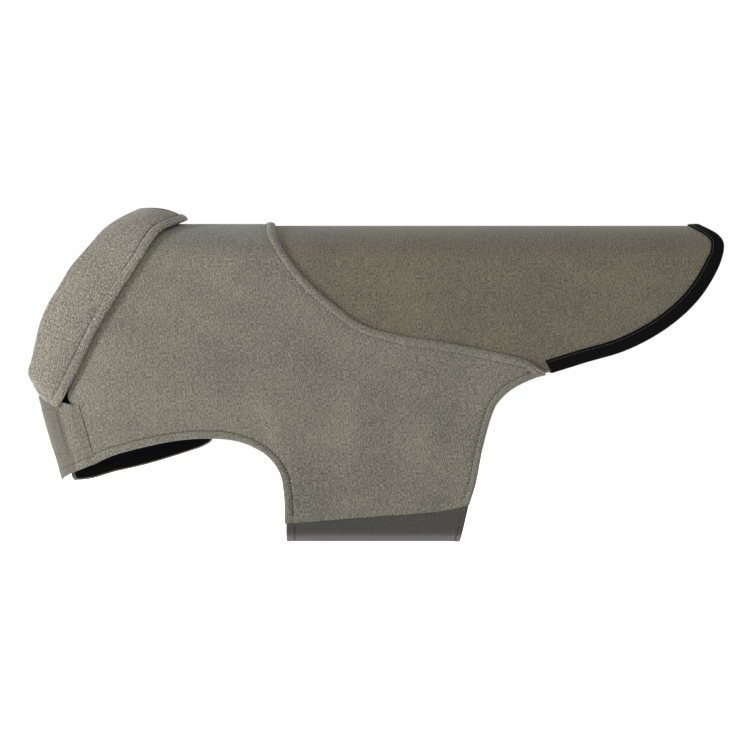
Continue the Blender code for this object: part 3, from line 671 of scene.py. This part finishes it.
def frontOutline():
    right = np.vstack([halves[1][kind] for kind in
                       ("neck", "chest", "leg", "belly", "flank", "yoke")])
    left = np.vstack([halves[-1][kind] for kind in
                      ("neck", "chest", "leg", "belly", "flank", "yoke")])[::-1]
    return np.vstack([right, left])


makeFrontPart()
frontStitching()
print("front stitching")


# Rump part with its bound hem
rumpPart = dict(
    hemEdge=[(0.306, -0.148), (0.343, -0.1365), (0.386, -0.1235), (0.426, -0.102),
             (0.457, -0.0745), (0.477, -0.0435), (0.484, -0.0195), (0.479, -0.007),
             (0.461, 0.0034)],
    lap=0.0135, hemInset=0.0020, depth=0.0018, thickness=0.0027,
    bindingWidth=0.013, bindingStitch=0.0108, bindingOuter=0.0002, bindingInner=0.0068)


def lappedLine(distance):
    line = smoothLine(frontPart["yokeEdge"], 240)
    moved = parallelLine(line, -distance)
    moved[0] = (line[0][0] - distance, bodyShape["backTop"])
    flank = smoothLine(frontPart["flankEdge"])
    clear = np.array([p[1] > np.interp(p[0], flank[::-1, 0], flank[::-1, 1]) + 0.0015
                      if p[0] > flank[-1, 0] else True for p in moved])
    return toCloth(moved[clear])


def rumpHem(inset):
    line = evenly(toCloth(smoothLine(rumpPart["hemEdge"], 400)), count=300)
    moved = parallelLine(line, -inset) if inset else line.copy()
    moved[-1] = (line[-1][0] - inset, 0)
    return moved


def makeRumpPart():
    front = lappedLine(rumpPart["lap"])
    hem = rumpHem(rumpPart["hemInset"])[6:]
    half = np.vstack([evenly(front, 0.0035), evenly(hem, 0.0032)])
    right, left = half, half[::-1] * (1, -1)
    outline = np.vstack([right[:-1], left[:-1]])
    points, faces = panelMesh(outline, rings=(0.0004, 0.0011, 0.0022, 0.004, 0.0065))
    closed = np.vstack([outline, outline[:1]])
    rounding = roundedEdge(nearestOn(points, closed)[0], 0.0012)
    middle = -rumpPart["depth"] - rumpPart["thickness"] / 2
    half = rumpPart["thickness"] / 2 * rounding
    outer = raised(points[:, 0], points[:, 1], middle + half)
    inner = raised(points[:, 0], points[:, 1], middle - half)
    made = closedSheet("rumpPart", outer, inner, faces, points, [shadedRumpCloth, blackFleece],
                       np.ones(len(faces), int))
    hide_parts("rump_shell", "rump_lining")
    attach(made, "coat")
    print("rump part", len(made.data.polygons))


def makeBinding():
    line = evenly(rumpHem(0)[6:], 0.0026)
    line = np.vstack([line * (1, -1), line[::-1][1:]])
    side = parallelLine(line, 1.0) - line
    width, outerFace, innerFace = (rumpPart[k] for k in
                                   ("bindingWidth", "bindingOuter", "bindingInner"))
    thick = 0.0010
    profile = [(width, outerFace + thick), (width - 0.0002, outerFace + 0.0004),
               (width - 0.0010, outerFace)]
    for inwards in (0.0112, 0.0108, 0.0104, 0.0085, 0.0060, 0.0035, 0.0018):
        pulled = 0.00035 * math.exp(-((inwards - rumpPart["bindingStitch"]) / 0.0005) ** 2)
        swell = 0.0005 * math.sin(math.pi * min(inwards / 0.0105, 1))
        profile.append((inwards, outerFace + pulled - swell))
    for turn in np.linspace(0.35, math.pi - 0.35, 6):
        middle, half = (outerFace + innerFace) / 2, (innerFace - outerFace) / 2
        profile.append((0.0017 - 0.0017 * math.sin(turn), middle - half * math.cos(turn)))
    profile += [(0.0018, innerFace), (0.0060, innerFace + 0.0002), (0.0110, innerFace),
                (width, innerFace - 0.0003), (width, innerFace - thick),
                (0.0060, innerFace - thick), (0.0027, innerFace - thick),
                (0.0021, (outerFace + innerFace) / 2), (0.0027, outerFace + thick + 0.0002),
                (0.0060, outerFace + thick), (width - 0.001, outerFace + thick)]
    profile = np.array(profile)
    s = line[:, None, 0] + side[:, None, 0] * profile[None, :, 0]
    t = line[:, None, 1] + side[:, None, 1] * profile[None, :, 0]
    points = raised(s, t, -profile[None, :, 1] + np.zeros_like(s))
    rows, count = s.shape
    run = np.concatenate([[0], np.cumsum(np.linalg.norm(np.diff(line, axis=0), axis=1))])
    round_ = np.concatenate([[0], np.cumsum(np.linalg.norm(np.diff(profile, axis=0), axis=1))])
    uv = np.stack(np.broadcast_arrays(run[:, None], round_[None]), axis=-1).reshape(-1, 2)
    faces = [(i * count + k, i * count + (k + 1) % count, (i + 1) * count + (k + 1) % count,
              (i + 1) * count + k) for i in range(rows - 1) for k in range(count)]
    faces += [tuple(range(count))[::-1], tuple(range((rows - 1) * count, rows * count))]
    made = makeObject("rumpBinding", points.reshape(-1, 3), faces, [blackTape], None, uv)
    faceOut(made)
    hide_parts("rump_binding")
    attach(made, "coat")
    for name, inwards, lift in (("bindingStitching", rumpPart["bindingStitch"], -0.0003),
                                ("bindingInnerStitching", rumpPart["bindingStitch"],
                                 -innerFace - 0.0002)):
        sewn = coatStitches(name, line + side * inwards, lift, blackThread)
        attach(sewn, "coat")
    print("binding")


def faceOut(made):
    bpy.context.view_layer.objects.active = made
    made.select_set(True)
    bpy.ops.object.mode_set(mode="EDIT")
    bpy.ops.mesh.select_all(action="SELECT")
    bpy.ops.mesh.normals_make_consistent(inside=False)
    bpy.ops.object.mode_set(mode="OBJECT")
    made.select_set(False)


makeRumpPart()
makeBinding()


# Collar: roll line and free edge of the fall, from the nape to the throat
collar = dict(
    rollLine=[(-0.102, 0.019), (-0.120, 0.010), (-0.136, -0.001), (-0.152, -0.019),
              (-0.169, -0.039), (-0.181, -0.059), (-0.192, -0.077), (-0.200, -0.096),
              (-0.205, -0.116), (-0.209, -0.133), (-0.2125, -0.147), (-0.205, -0.161)],
    fallEdge=[(-0.0525, 0.0034), (-0.063, -0.0005), (-0.080, -0.009), (-0.097, -0.031),
              (-0.124, -0.073), (-0.144, -0.108), (-0.161, -0.145), (-0.179, -0.180)],
    rollHalfWidth=0.042, opening=0.0018, edgeLift=0.0056, swell=0.004,
    thickness=0.0027, hem=0.0095, endHem=0.0078, standDepth=0.0036, wingStart=76)
rollCurve = smoothLine(collar["rollLine"], 120)
fallCurve = smoothLine(collar["fallEdge"], 120)
seamCurve = smoothLine(frontPart["neckSeam"] + [frontPoint(collar["opening"],
                                                          frontPart["neckEndZ"])], 120)


def alongCurve(curve, angle):
    share = (1 - np.cos(angle)) / 2 * (len(curve) - 1)
    return np.stack([np.interp(share, np.arange(len(curve)), curve[:, k]) for k in (0, 1)], -1)


def rollAt(angle):
    place = alongCurve(rollCurve, angle)
    y = (collar["rollHalfWidth"] * np.sin(np.abs(angle))
         + collar["opening"] * (1 - np.cos(angle)) / 2)
    return np.stack([place[..., 0], np.where(angle < 0, -1, 1) * y, place[..., 1]], -1)


def fallEdgeAt(angle):
    flat = toCloth(alongCurve(fallCurve, angle))
    return raised(flat[:, 0], np.where(angle < 0, -1, 1) * flat[:, 1], collar["edgeLift"])


def seamAt(angle):
    flat = toCloth(alongCurve(seamCurve, angle))
    return raised(flat[:, 0], np.where(angle < 0, -1, 1) * flat[:, 1], -0.0004)


def crowded(count, length, edge):
    near = np.array([0, 0.0004, 0.0010, 0.0019, 0.0030])
    near = near[near < length / 3]
    middle = np.linspace(near[-1], length - near[-1], count)[1:-1]
    return np.concatenate([near, middle, length - near[::-1]]) / length


def makeCollarHalf(side, name):
    angle = side * (math.pi - 0.02) * crowded(96, 0.30, 0.003)
    share = crowded(30, 0.060, 0.003)
    roll, free = rollAt(angle), fallEdgeAt(angle)
    flat = roll[None] * (1 - share[:, None, None]) + free[None] * share[:, None, None]
    normal = gridNormals(flat)
    if (normal[:, :, 1] * side).mean() < 0:
        normal = -normal
    length = np.linalg.norm(free - roll, axis=1)[None] * np.ones((len(share), 1))
    run = np.concatenate([[0], np.cumsum(np.linalg.norm(np.diff(free, axis=0), axis=1))])
    fromEdge = length * (1 - share[:, None])
    fromEnd = (run[-1] - run)[None] * np.ones((len(share), 1))
    edge = np.minimum(np.minimum(fromEdge, fromEnd), length * share[:, None])
    lift = collar["swell"] * np.sin(math.pi * share)[:, None]
    lift = lift + hemRise(fromEdge, run[None] + 0 * fromEdge, collar["hem"], 0.0011, 0.0009)
    lift = lift + hemRise(fromEnd, fromEdge, collar["endHem"], 0.0006, 0.0007)
    lift = lift + 0.0007 * np.sin(run * 60 + side)[None] * np.sin(math.pi * share)[:, None]
    rounding = roundedEdge(edge, 0.0019)
    top, bottom = lift, lift * 0.9 - collar["thickness"]
    bottom = np.minimum(bottom, top - 0.0022)
    middle = (top + bottom) / 2
    uv = np.stack([length * share[:, None], run[None] + 0 * length], -1)
    made = gridSheet(f"collarFall{name}", flat, normal, middle + (top - middle) * rounding,
                     middle + (bottom - middle) * rounding, uv, [litCollarCloth, shellCloth],
                     np.ones(length.shape, int))
    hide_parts(f"collar_wing_{name.lower()}_fall", f"collar_wing_{name.lower()}_under")
    if side < 0:
        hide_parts("collar_back_fall", "collar_back_under")
    # topstitching along the free edge and round the front end
    pieces = [made]
    for label, distance, stop in (("Edge", collar["hem"], collar["endHem"]),
                                  ("End", collar["endHem"], 0)):
        if label == "Edge":
            rows = 1 - distance / length[0]
            cols = np.arange(len(run))[fromEnd[0] > stop]
            line = np.stack([roll[k] * (1 - rows[k]) + free[k] * rows[k]
                             + normal[len(share) // 2, k]
                             * (collar["swell"] * math.sin(math.pi * rows[k]) - 0.0004)
                             for k in cols])
            ups = normal[len(share) // 2][cols]
        else:
            k = int(np.searchsorted(-fromEnd[0], -distance))
            inner = share[(share > 0.03) & (share < 1 - collar["hem"] / length[0, k])]
            line = np.stack([roll[k] * (1 - w) + free[k] * w + normal[len(share) // 2, k]
                             * (collar["swell"] * math.sin(math.pi * w) - 0.0003)
                             for w in inner])
            ups = np.repeat(normal[len(share) // 2, k][None], len(line), 0)
        both = np.hstack([line, ups])
        starts, ends = spansOf(both, stitch["pitch"], stitch["length"])
        sideways = sidewaysOf(starts[:, :3], ends[:, :3], starts[:, 3:])
        pieces.append(stitchesOf(f"collar{label}Stitching{name}", starts[:, :3], ends[:, :3],
                                 sideways, darkThread))
    for piece in pieces:
        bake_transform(piece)
    print("collar", name)


def makeStand():
    angle = np.linspace(-math.pi + 0.02, math.pi - 0.02, 161)
    roll, free, seam = rollAt(angle), fallEdgeAt(angle), seamAt(angle)
    flat = roll[None] * (1 - np.linspace(0, 1, 9))[:, None, None] \
        + free[None] * np.linspace(0, 1, 9)[:, None, None]
    normal = gridNormals(flat)[1]
    away = np.sign((normal * (roll - np.array([-0.10, 0, -0.06]))).sum(1))[:, None]
    normal = normal * away
    top = roll * 0.96 + free * 0.04 - normal * collar["standDepth"]
    gap = (top - seam) / np.linalg.norm(top - seam, axis=1, keepdims=True)
    low = seam + gap * 0.0012
    share = np.linspace(0, 1, 15)[:, None, None]
    grid = top[None] * (1 - share) + low[None] * share
    ups = gridNormals(grid)
    if (ups * (grid - np.array([-0.10, 0, -0.06]))).sum() < 0:
        ups = -ups
    run = np.concatenate([[0], np.cumsum(np.linalg.norm(np.diff(roll, axis=0), axis=1))])
    tall = np.linalg.norm(top - low, axis=1)
    uv = np.stack([share[..., 0] * tall[None], run[None] + 0 * share[..., 0]], -1)
    zero = np.zeros(grid.shape[:2])
    made = gridSheet("collarStand", grid, ups, zero, zero - 0.001, uv, [litCollarCloth])
    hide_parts("collar_stand")
    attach(made, "coat")


makeCollarHalf(-1, "Left")
makeCollarHalf(1, "Right")
makeStand()


# Chest closing: left flap over the right underlap
chest = dict(
    rear=-0.0465, hinge=-0.038, free=0.014, topZ=-0.1685, topFall=0.22,
    lift=0.0031, underlapLeft=-0.024, underlapRight=0.0165, underlapTop=-0.163,
    patchLeft=-0.022, patchRight=0.003, patchTop=-0.182, patchBottom=-0.226)


def chestGrid(left, right, topOf, bottomOf, columns, rows):
    s = left + (right - left) * crowded(columns, right - left, 0)
    share = crowded(rows, 0.07, 0)
    top, bottom = topOf(s), bottomOf(s)
    z = top[None] * (1 - share[:, None]) + bottom[None] * share[:, None]
    s = s[None] + 0 * z
    return s, z, girthOf(z)


def chestBottom(s):
    return frontPart["chestBottomZ"] + frontPart["chestRise"] * np.abs(s)


def chestSheet(name, s, t, top, bottom, materials, slot=1, radius=0.0012, outerSlot=None):
    rows, columns = s.shape
    flat = np.stack([s, t], -1)
    rim = np.vstack([flat[0], flat[:, -1], flat[-1][::-1], flat[:, 0][::-1]])
    edge = nearestOn(flat.reshape(-1, 2), rim)[0].reshape(rows, columns)
    rounding = roundedEdge(edge, radius)
    middle = (top + bottom) / 2
    surface = onCoat(s, t)
    normal = normalsOf(onCoat, s, t)
    return gridSheet(name, surface, normal, middle + (top - middle) * rounding,
                     middle + (bottom - middle) * rounding, np.stack([-s, -t], -1), materials,
                     np.full((rows, columns), slot), outerSlot)


def makeChest():
    s, z, t = chestGrid(
        chest["rear"], chest["free"], lambda s: chest["topZ"] - chest["topFall"] * np.abs(s),
        chestBottom, 44, 46)
    risen = smoothStep(s, chest["rear"], chest["hinge"] + 0.002)
    top = 0.0009 + (chest["lift"] - 0.0009) * risen
    rowsFrom = np.minimum(np.abs(s - chest["patchLeft"]), np.abs(s - chest["patchRight"]))
    inPatch = ((s > chest["patchLeft"]) & (s < chest["patchRight"])
               & (z < chest["patchTop"]) & (z > chest["patchBottom"]))
    top = top + 0.0002 * inPatch
    top = top - 0.0003 * np.exp(-(rowsFrom / 0.0008) ** 2) * (
        (z < chest["patchTop"]) & (z > chest["patchBottom"]))
    top = top + hemRise(chest["free"] - s, z, 0.006, 0.0002, 0.0003)
    bottom = 0.0003 + (chest["lift"] - 0.0024 - 0.0003) * risen
    # the band in front is the front part's cloth painted darker, a painted shade where it turns
    # from the light; it ends softly, and behind it the flap is the front part's own cloth
    paintedShadeBandSlots = np.where(s < -0.027, 2, 0)
    flap = chestSheet("chestFlap", s, t, top, bottom, [shadedFlapCloth, blackFleece, shellCloth],
                      outerSlot=paintedShadeBandSlots)
    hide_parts("chest_flap", "chest_flap_lining")
    pieces = [flap]
    corners = [(chest["patchLeft"], chest["patchTop"]), (chest["patchRight"], chest["patchTop"]),
               (chest["patchRight"], chest["patchBottom"]),
               (chest["patchLeft"], chest["patchBottom"]),
               (chest["patchLeft"], chest["patchTop"])]
    box = evenly(np.array([(a, float(girthOf(np.array(b)))) for a, b in corners]), 0.0006)
    pieces.append(coatStitches("patchStitching", box, chest["lift"] - 0.0001, length=0.0019,
                               pitch=0.0026))
    low = np.linspace(chest["free"] - 0.006, chest["rear"] + 0.003, 60)
    edge = np.stack([np.full(40, chest["free"] - 0.006),
                     girthOf(np.linspace(chest["topZ"] - 0.012, -0.2415, 40))], 1)
    pieces.append(coatStitches("flapStitching", edge, chest["lift"] - 0.0002))
    hem = np.stack([low, girthOf(chestBottom(low) + 0.0078)], 1)
    risenHem = 0.0009 + (chest["lift"] - 0.0009) * smoothStep(
        low[:-1], chest["rear"], chest["hinge"] + 0.002)
    starts, ends = spansOf(np.column_stack([hem, np.append(risenHem, 0.0009)]),
                           stitch["pitch"], stitch["length"])
    first = raised(starts[:, 0], starts[:, 1], starts[:, 2])
    last = raised(ends[:, 0], ends[:, 1], ends[:, 2])
    sideways = sidewaysOf(first, last, normalsOf(onCoat, starts[:, 0], starts[:, 1]))
    pieces.append(stitchesOf("flapHemStitching", first, last, sideways, darkThread))
    ps, _, pt = chestGrid(chest["patchLeft"], chest["patchRight"],
                              lambda s: chest["patchTop"] + 0 * s,
                              lambda s: chest["patchBottom"] + 0 * s, 20, 30)
    hook = chestSheet("chestHookPatch", ps, pt, 0.0006 + 0 * ps, 0.0001 + 0 * ps, [hookTape], 0,
                      0.0005)
    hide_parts("chest_hook_patch")
    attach(hook, "chest_flap")
    startAt = raised(np.array([chest["hinge"] - 0.006]), girthOf(np.array([-0.215])), 0.001)[0]
    endAt = raised(np.array([chest["hinge"] + 0.002]), girthOf(np.array([-0.215])), 0.001)[0]
    for piece in pieces:
        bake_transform(piece)

    s, z, t = chestGrid(chest["underlapLeft"], chest["underlapRight"],
                               lambda s: chest["underlapTop"] + 0 * s,
                               lambda s: chestBottom(s) + 0.0018, 34, 46)
    rise = smoothStep(s, 0.006, chest["underlapRight"])
    top = -0.0025 + 0.0022 * rise
    lap = chestSheet("chestUnderlap", s, t, top, top - 0.001, [shellCloth, blackFleece])
    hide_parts("chest_underlap")
    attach(lap, "coat")
    loop = chestSheet("chestLoopPatch", ps, pt, -0.0012 + 0 * ps, -0.0021 + 0 * ps, [loopPile],
                      0, 0.0005)
    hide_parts("chest_loop_patch")
    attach(loop, "coat")
    print("chest closing")


makeChest()


# Belly band: one strip from the left seam under the belly and up the right side
belly = dict(
    bottomZ=-0.3145, frontX=0.0465, rearX=0.2285, rearLean=0.23, hingeZ=-0.3035,
    tabTopZ=-0.250, tabLift=0.0038, loopTopZ=-0.253, loopBottomZ=-0.276,
    thickness=0.0012, lined=0.0026, foldSwell=0.0013, seamTuck=0.006, hem=0.0065)


def bellyHalf(x):
    z = np.full_like(x, belly["hingeZ"])
    flat = toCloth(np.stack([x, z], 1))
    return plainCoat(flat[:, 0], flat[:, 1])[:, 1]


def bellyPath(u):
    hinge, seamFront, seamRear = belly["hingeZ"], -0.2965, -0.278
    drop = hinge - belly["bottomZ"]
    rows = []

    def across(z):
        rear = belly["rearX"] + belly["rearLean"] * (z - seamFront - 0.0185)
        return belly["frontX"] + (rear - belly["frontX"]) * u

    def foldHalf(x):
        ends = bellyHalf(np.array([belly["frontX"], belly["rearX"]]))
        return ends[0] + (ends[1] - ends[0]) * (x - belly["frontX"]) / (
            belly["rearX"] - belly["frontX"]) + belly["foldSwell"]

    seam = seamFront + (seamRear - seamFront) * u
    for up in (belly["seamTuck"], 0.003, 0.0008):
        x = across(seam)
        rows.append(np.stack([x, -bellyHalf(x) + 0.0017, seam + up], 1))
    for k, inwards in ((0.12, 0.0006), (0.4, 0.0), (1.0, 0.0)):
        z = seam + (hinge - seam) * k
        x = across(z)
        rows.append(np.stack([x, -foldHalf(x) + inwards, z], 1))
    for turn in np.linspace(0.16, math.pi, 22):
        z = hinge - drop * math.sin(turn) ** 0.8
        x = across(z)
        share = (1 - math.cos(turn)) / 2
        left, right = -foldHalf(x), bellyHalf(x) + belly["tabLift"]
        rows.append(np.stack([x, left + (right - left) * share, z + 0 * x], 1))
    for k in (0.2, 0.4, 0.6, 0.8, 1.0):
        z = hinge + (belly["tabTopZ"] - hinge) * k
        x = across(z)
        rows.append(np.stack([x, bellyHalf(x) + belly["tabLift"], z + 0 * x], 1))
    return np.array(rows)


def makeBellyBand():
    u = crowded(64, 0.182, 0)
    coarse = bellyPath(u)
    run = np.concatenate([[0], np.cumsum(
        np.linalg.norm(np.diff(coarse[:, len(u) // 2], axis=0), axis=1))])
    at = run[-1] * crowded(110, run[-1], 0)
    grid = np.stack([np.stack([np.interp(at, run, coarse[:, i, k]) for i in range(len(u))], 1)
                     for k in range(3)], -1)
    for _ in range(2):                                # soften the corners of the path
        grid[1:-1] = (grid[:-2] + grid[1:-1] * 2 + grid[2:]) / 4
    normal = gridNormals(grid)
    if (normal * (grid - np.array([0.14, 0, -0.25]))).sum() < 0:
        normal = -normal
    wide = u * 0.182
    toSide = np.minimum(wide, wide[-1] - wide)[None] + 0 * at[:, None]
    toEnd = (at[-1] - at)[:, None] + 0 * toSide
    lift = hemRise(toSide, at[:, None] + 0 * toSide, belly["hem"], 0.0004, 0.0004)
    lift = lift + hemRise(toEnd, wide[None] + 0 * toSide, belly["hem"], 0.0003, 0.0004)
    lined = smoothStep(at, 0.030, 0.040) * (1 - smoothStep(at, run[-1] - 0.080, run[-1] - 0.070))
    depth = belly["thickness"] + (belly["lined"] - belly["thickness"]) * lined[:, None] \
        * smoothStep(toSide, 0.004, 0.008)
    edge = np.minimum(np.minimum(toSide, toEnd), at[:, None])
    rounding = roundedEdge(edge, 0.0014)
    middle = (lift - depth) / 2
    slot = ((lined[:, None] > 0.5) & (toSide > 0.006)).astype(int)
    made = gridSheet("bellyBand", grid, normal, middle + (lift - middle) * rounding,
                     middle - (middle + depth) * rounding,
                     np.stack([wide[None] + 0 * toSide, at[:, None] + 0 * toSide], -1),
                     [stripCloth, blackFleece], slot)
    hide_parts("belly_band", "belly_strip_left", "belly_lining")
    pieces = [made]
    for label, column in (("Front", belly["hem"]), ("Rear", wide[-1] - belly["hem"])):
        k = int(np.searchsorted(wide, column))
        line = np.hstack([grid[:, k] + normal[:, k] * -0.0002, normal[:, k]])[8:-8]
        starts, ends = spansOf(line, stitch["pitch"], stitch["length"])
        sideways = sidewaysOf(starts[:, :3], ends[:, :3], starts[:, 3:])
        pieces.append(stitchesOf(f"bellyStitching{label}", starts[:, :3], ends[:, :3],
                                 sideways, darkThread))
    for piece in pieces:
        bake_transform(piece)
    for name, node, bodyName, lift, tape in (
            ("bellyHookStrip", "belly_hook_strip", "belly_band", 0.0026, hookTape),
            ("bellyLoopStrip", "belly_loop_strip", "coat", 0.0013, loopPile)):
        share = crowded(60, 0.182, 0)
        tall = crowded(16, 0.023, 0)
        z = belly["loopBottomZ"] + (belly["loopTopZ"] - belly["loopBottomZ"]) * tall
        rear = belly["rearX"] + belly["rearLean"] * (z + 0.2965 - 0.0185)
        x = belly["frontX"] + (rear[:, None] - belly["frontX"]) * share[None]
        zz = z[:, None] + 0 * x
        y = bellyHalf(x.ravel()).reshape(x.shape) + lift
        strip = np.stack([x, y, zz], -1)
        ups = np.zeros_like(strip)
        ups[..., 1] = 1
        edge = np.minimum(np.minimum(share, 1 - share)[None] * 0.182,
                          np.minimum(tall, 1 - tall)[:, None] * 0.023)
        half = 0.00035 * roundedEdge(edge, 0.0006)
        taped = gridSheet(name, strip, ups, half - 0.00035, -half - 0.00035,
                          np.stack([x, zz], -1), [tape])
        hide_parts(node)
        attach(taped, bodyName)
    print("belly band")


makeBellyBand()


# Small pieces: neck tape inside, corner stays and bar tacks
def makeNeckTape():
    end = frontPoint(0.040, frontPart["neckEndZ"] - 0.01)
    line = toCloth(smoothLine(frontPart["neckSeam"] + [end], 110))
    ring = np.vstack([line[::-1] * (1, -1), line[1:]])
    offsets = 0.0015 + 0.0105 * crowded(8, 0.0105, 0)
    rows = np.array([parallelLine(ring, -offset) for offset in offsets])
    depth = 0.0061
    s, t = rows[..., 0], rows[..., 1]
    edge = np.minimum(offsets - 0.0015, 0.012 - offsets)[:, None] + 0 * s
    half = 0.0004 * roundedEdge(edge, 0.0006)
    tape = gridSheet("neckTape", onCoat(s, t), normalsOf(onCoat, s, t), -depth + half,
                     -depth - half, rows, [stripCloth])
    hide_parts("neck_tape")
    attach(tape, "coat")


def makeCorners():
    corner = np.array(frontPart["yokeEdge"][-1])
    for side, name in ((-1, "Left"), (1, "Right")):
        low = name.lower()
        across, down = crowded(8, 0.011, 0)[None, :, None], crowded(8, 0.011, 0)[:, None, None]
        a, b = corner + (-0.013, 0.0100), corner + (-0.002, 0.0045)
        c, d = corner + (-0.010, -0.0010), corner + (-0.0015, 0.0003)
        upper, lower = a * (1 - across) + b * across, c * (1 - across) + d * across
        place = upper * (1 - down) + lower * down
        flat = toCloth(place.reshape(-1, 2)).reshape(place.shape) * (1, side)
        s, t = flat[..., 0], flat[..., 1]
        inwards = np.minimum(np.minimum(across, 1 - across), np.minimum(down, 1 - down))
        edge = inwards[..., 0] * 0.009
        half = 0.0004 * roundedEdge(edge, 0.0009)
        stay = gridSheet(f"cornerStay{name}", onCoat(s, t), normalsOf(onCoat, s, t),
                         0.0012 + half, 0.0012 - half, flat, [shadedRumpCloth])
        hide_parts(f"corner_stay_{low}")
        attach(stay, "coat")
        # bar tack: a dense block of zigzag thread
        ends = np.array([corner + (-0.0100, 0.0062), corner + (-0.0030, 0.0018)])
        top = toCloth(ends) * (1, side)
        line = top[0] + (top[1] - top[0]) * np.linspace(0, 1, 17)[:, None]
        offset = parallelLine(line, 0.0011) - line
        first = raised(*(line - offset).T, 0.0019)
        last = raised(*(line + offset).T, 0.0019)
        normal = normalsOf(onCoat, *line.T)
        sideways = sidewaysOf(first, last, normal)
        tack = stitchesOf(f"barTack{name}", first, last, sideways, paleThread, 0.0003)
        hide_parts(f"bar_tack_{low}")
        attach(tack, "coat")


makeNeckTape()
makeCorners()
print("small pieces")


# Studio
def makeStudio():
    floorZ = cadBox[0][2] - 0.001
    bpy.ops.mesh.primitive_plane_add(size=30, location=(0.13, 0, floorZ))
    floor = bpy.context.object
    floor.name = "studioFloor"
    floor.select_set(False)
    paper, _, shader = newMaterial("palePaper")
    shader.inputs["Base Color"].default_value = linearColour("f4f4f3")
    shader.inputs["Roughness"].default_value = 0.9
    shader.inputs["Emission Color"].default_value = (1, 1, 1, 1)
    shader.inputs["Emission Strength"].default_value = 1.0
    floor.data.materials.append(paper)
    world = bpy.data.worlds.new("softRoom")
    bpy.context.scene.world = world
    world.use_nodes = True
    world.node_tree.nodes["Background"].inputs["Color"].default_value = (1, 1, 1, 1)
    world.node_tree.nodes["Background"].inputs["Strength"].default_value = 1.0
    for name, place, size, power in (
            ("keyLight", (-2.6, -1.1, 0.15), 0.45, 105),
            ("topLight", (0.6, -0.6, 2.6), 2.5, 10)):
        light = bpy.data.lights.new(name, "AREA")
        light.size = size
        light.energy = power
        lamp = bpy.data.objects.new(name, light)
        lamp.location = place
        aim = Vector((0.1, 0, -0.15)) - Vector(place)
        lamp.rotation_euler = aim.to_track_quat("-Z", "Y").to_euler()
        bpy.context.collection.objects.link(lamp)
    camera = bpy.data.cameras.new("camera")
    camera.lens = 576
    camera.clip_end = 50
    eye = bpy.data.objects.new("camera", camera)
    eye.location = (0.135, -12.03, -0.148)
    eye.rotation_euler = (math.radians(90), 0, 0)
    bpy.context.collection.objects.link(eye)
    bpy.context.scene.camera = eye
    bpy.context.scene.view_settings.view_transform = "Standard"


makeStudio()
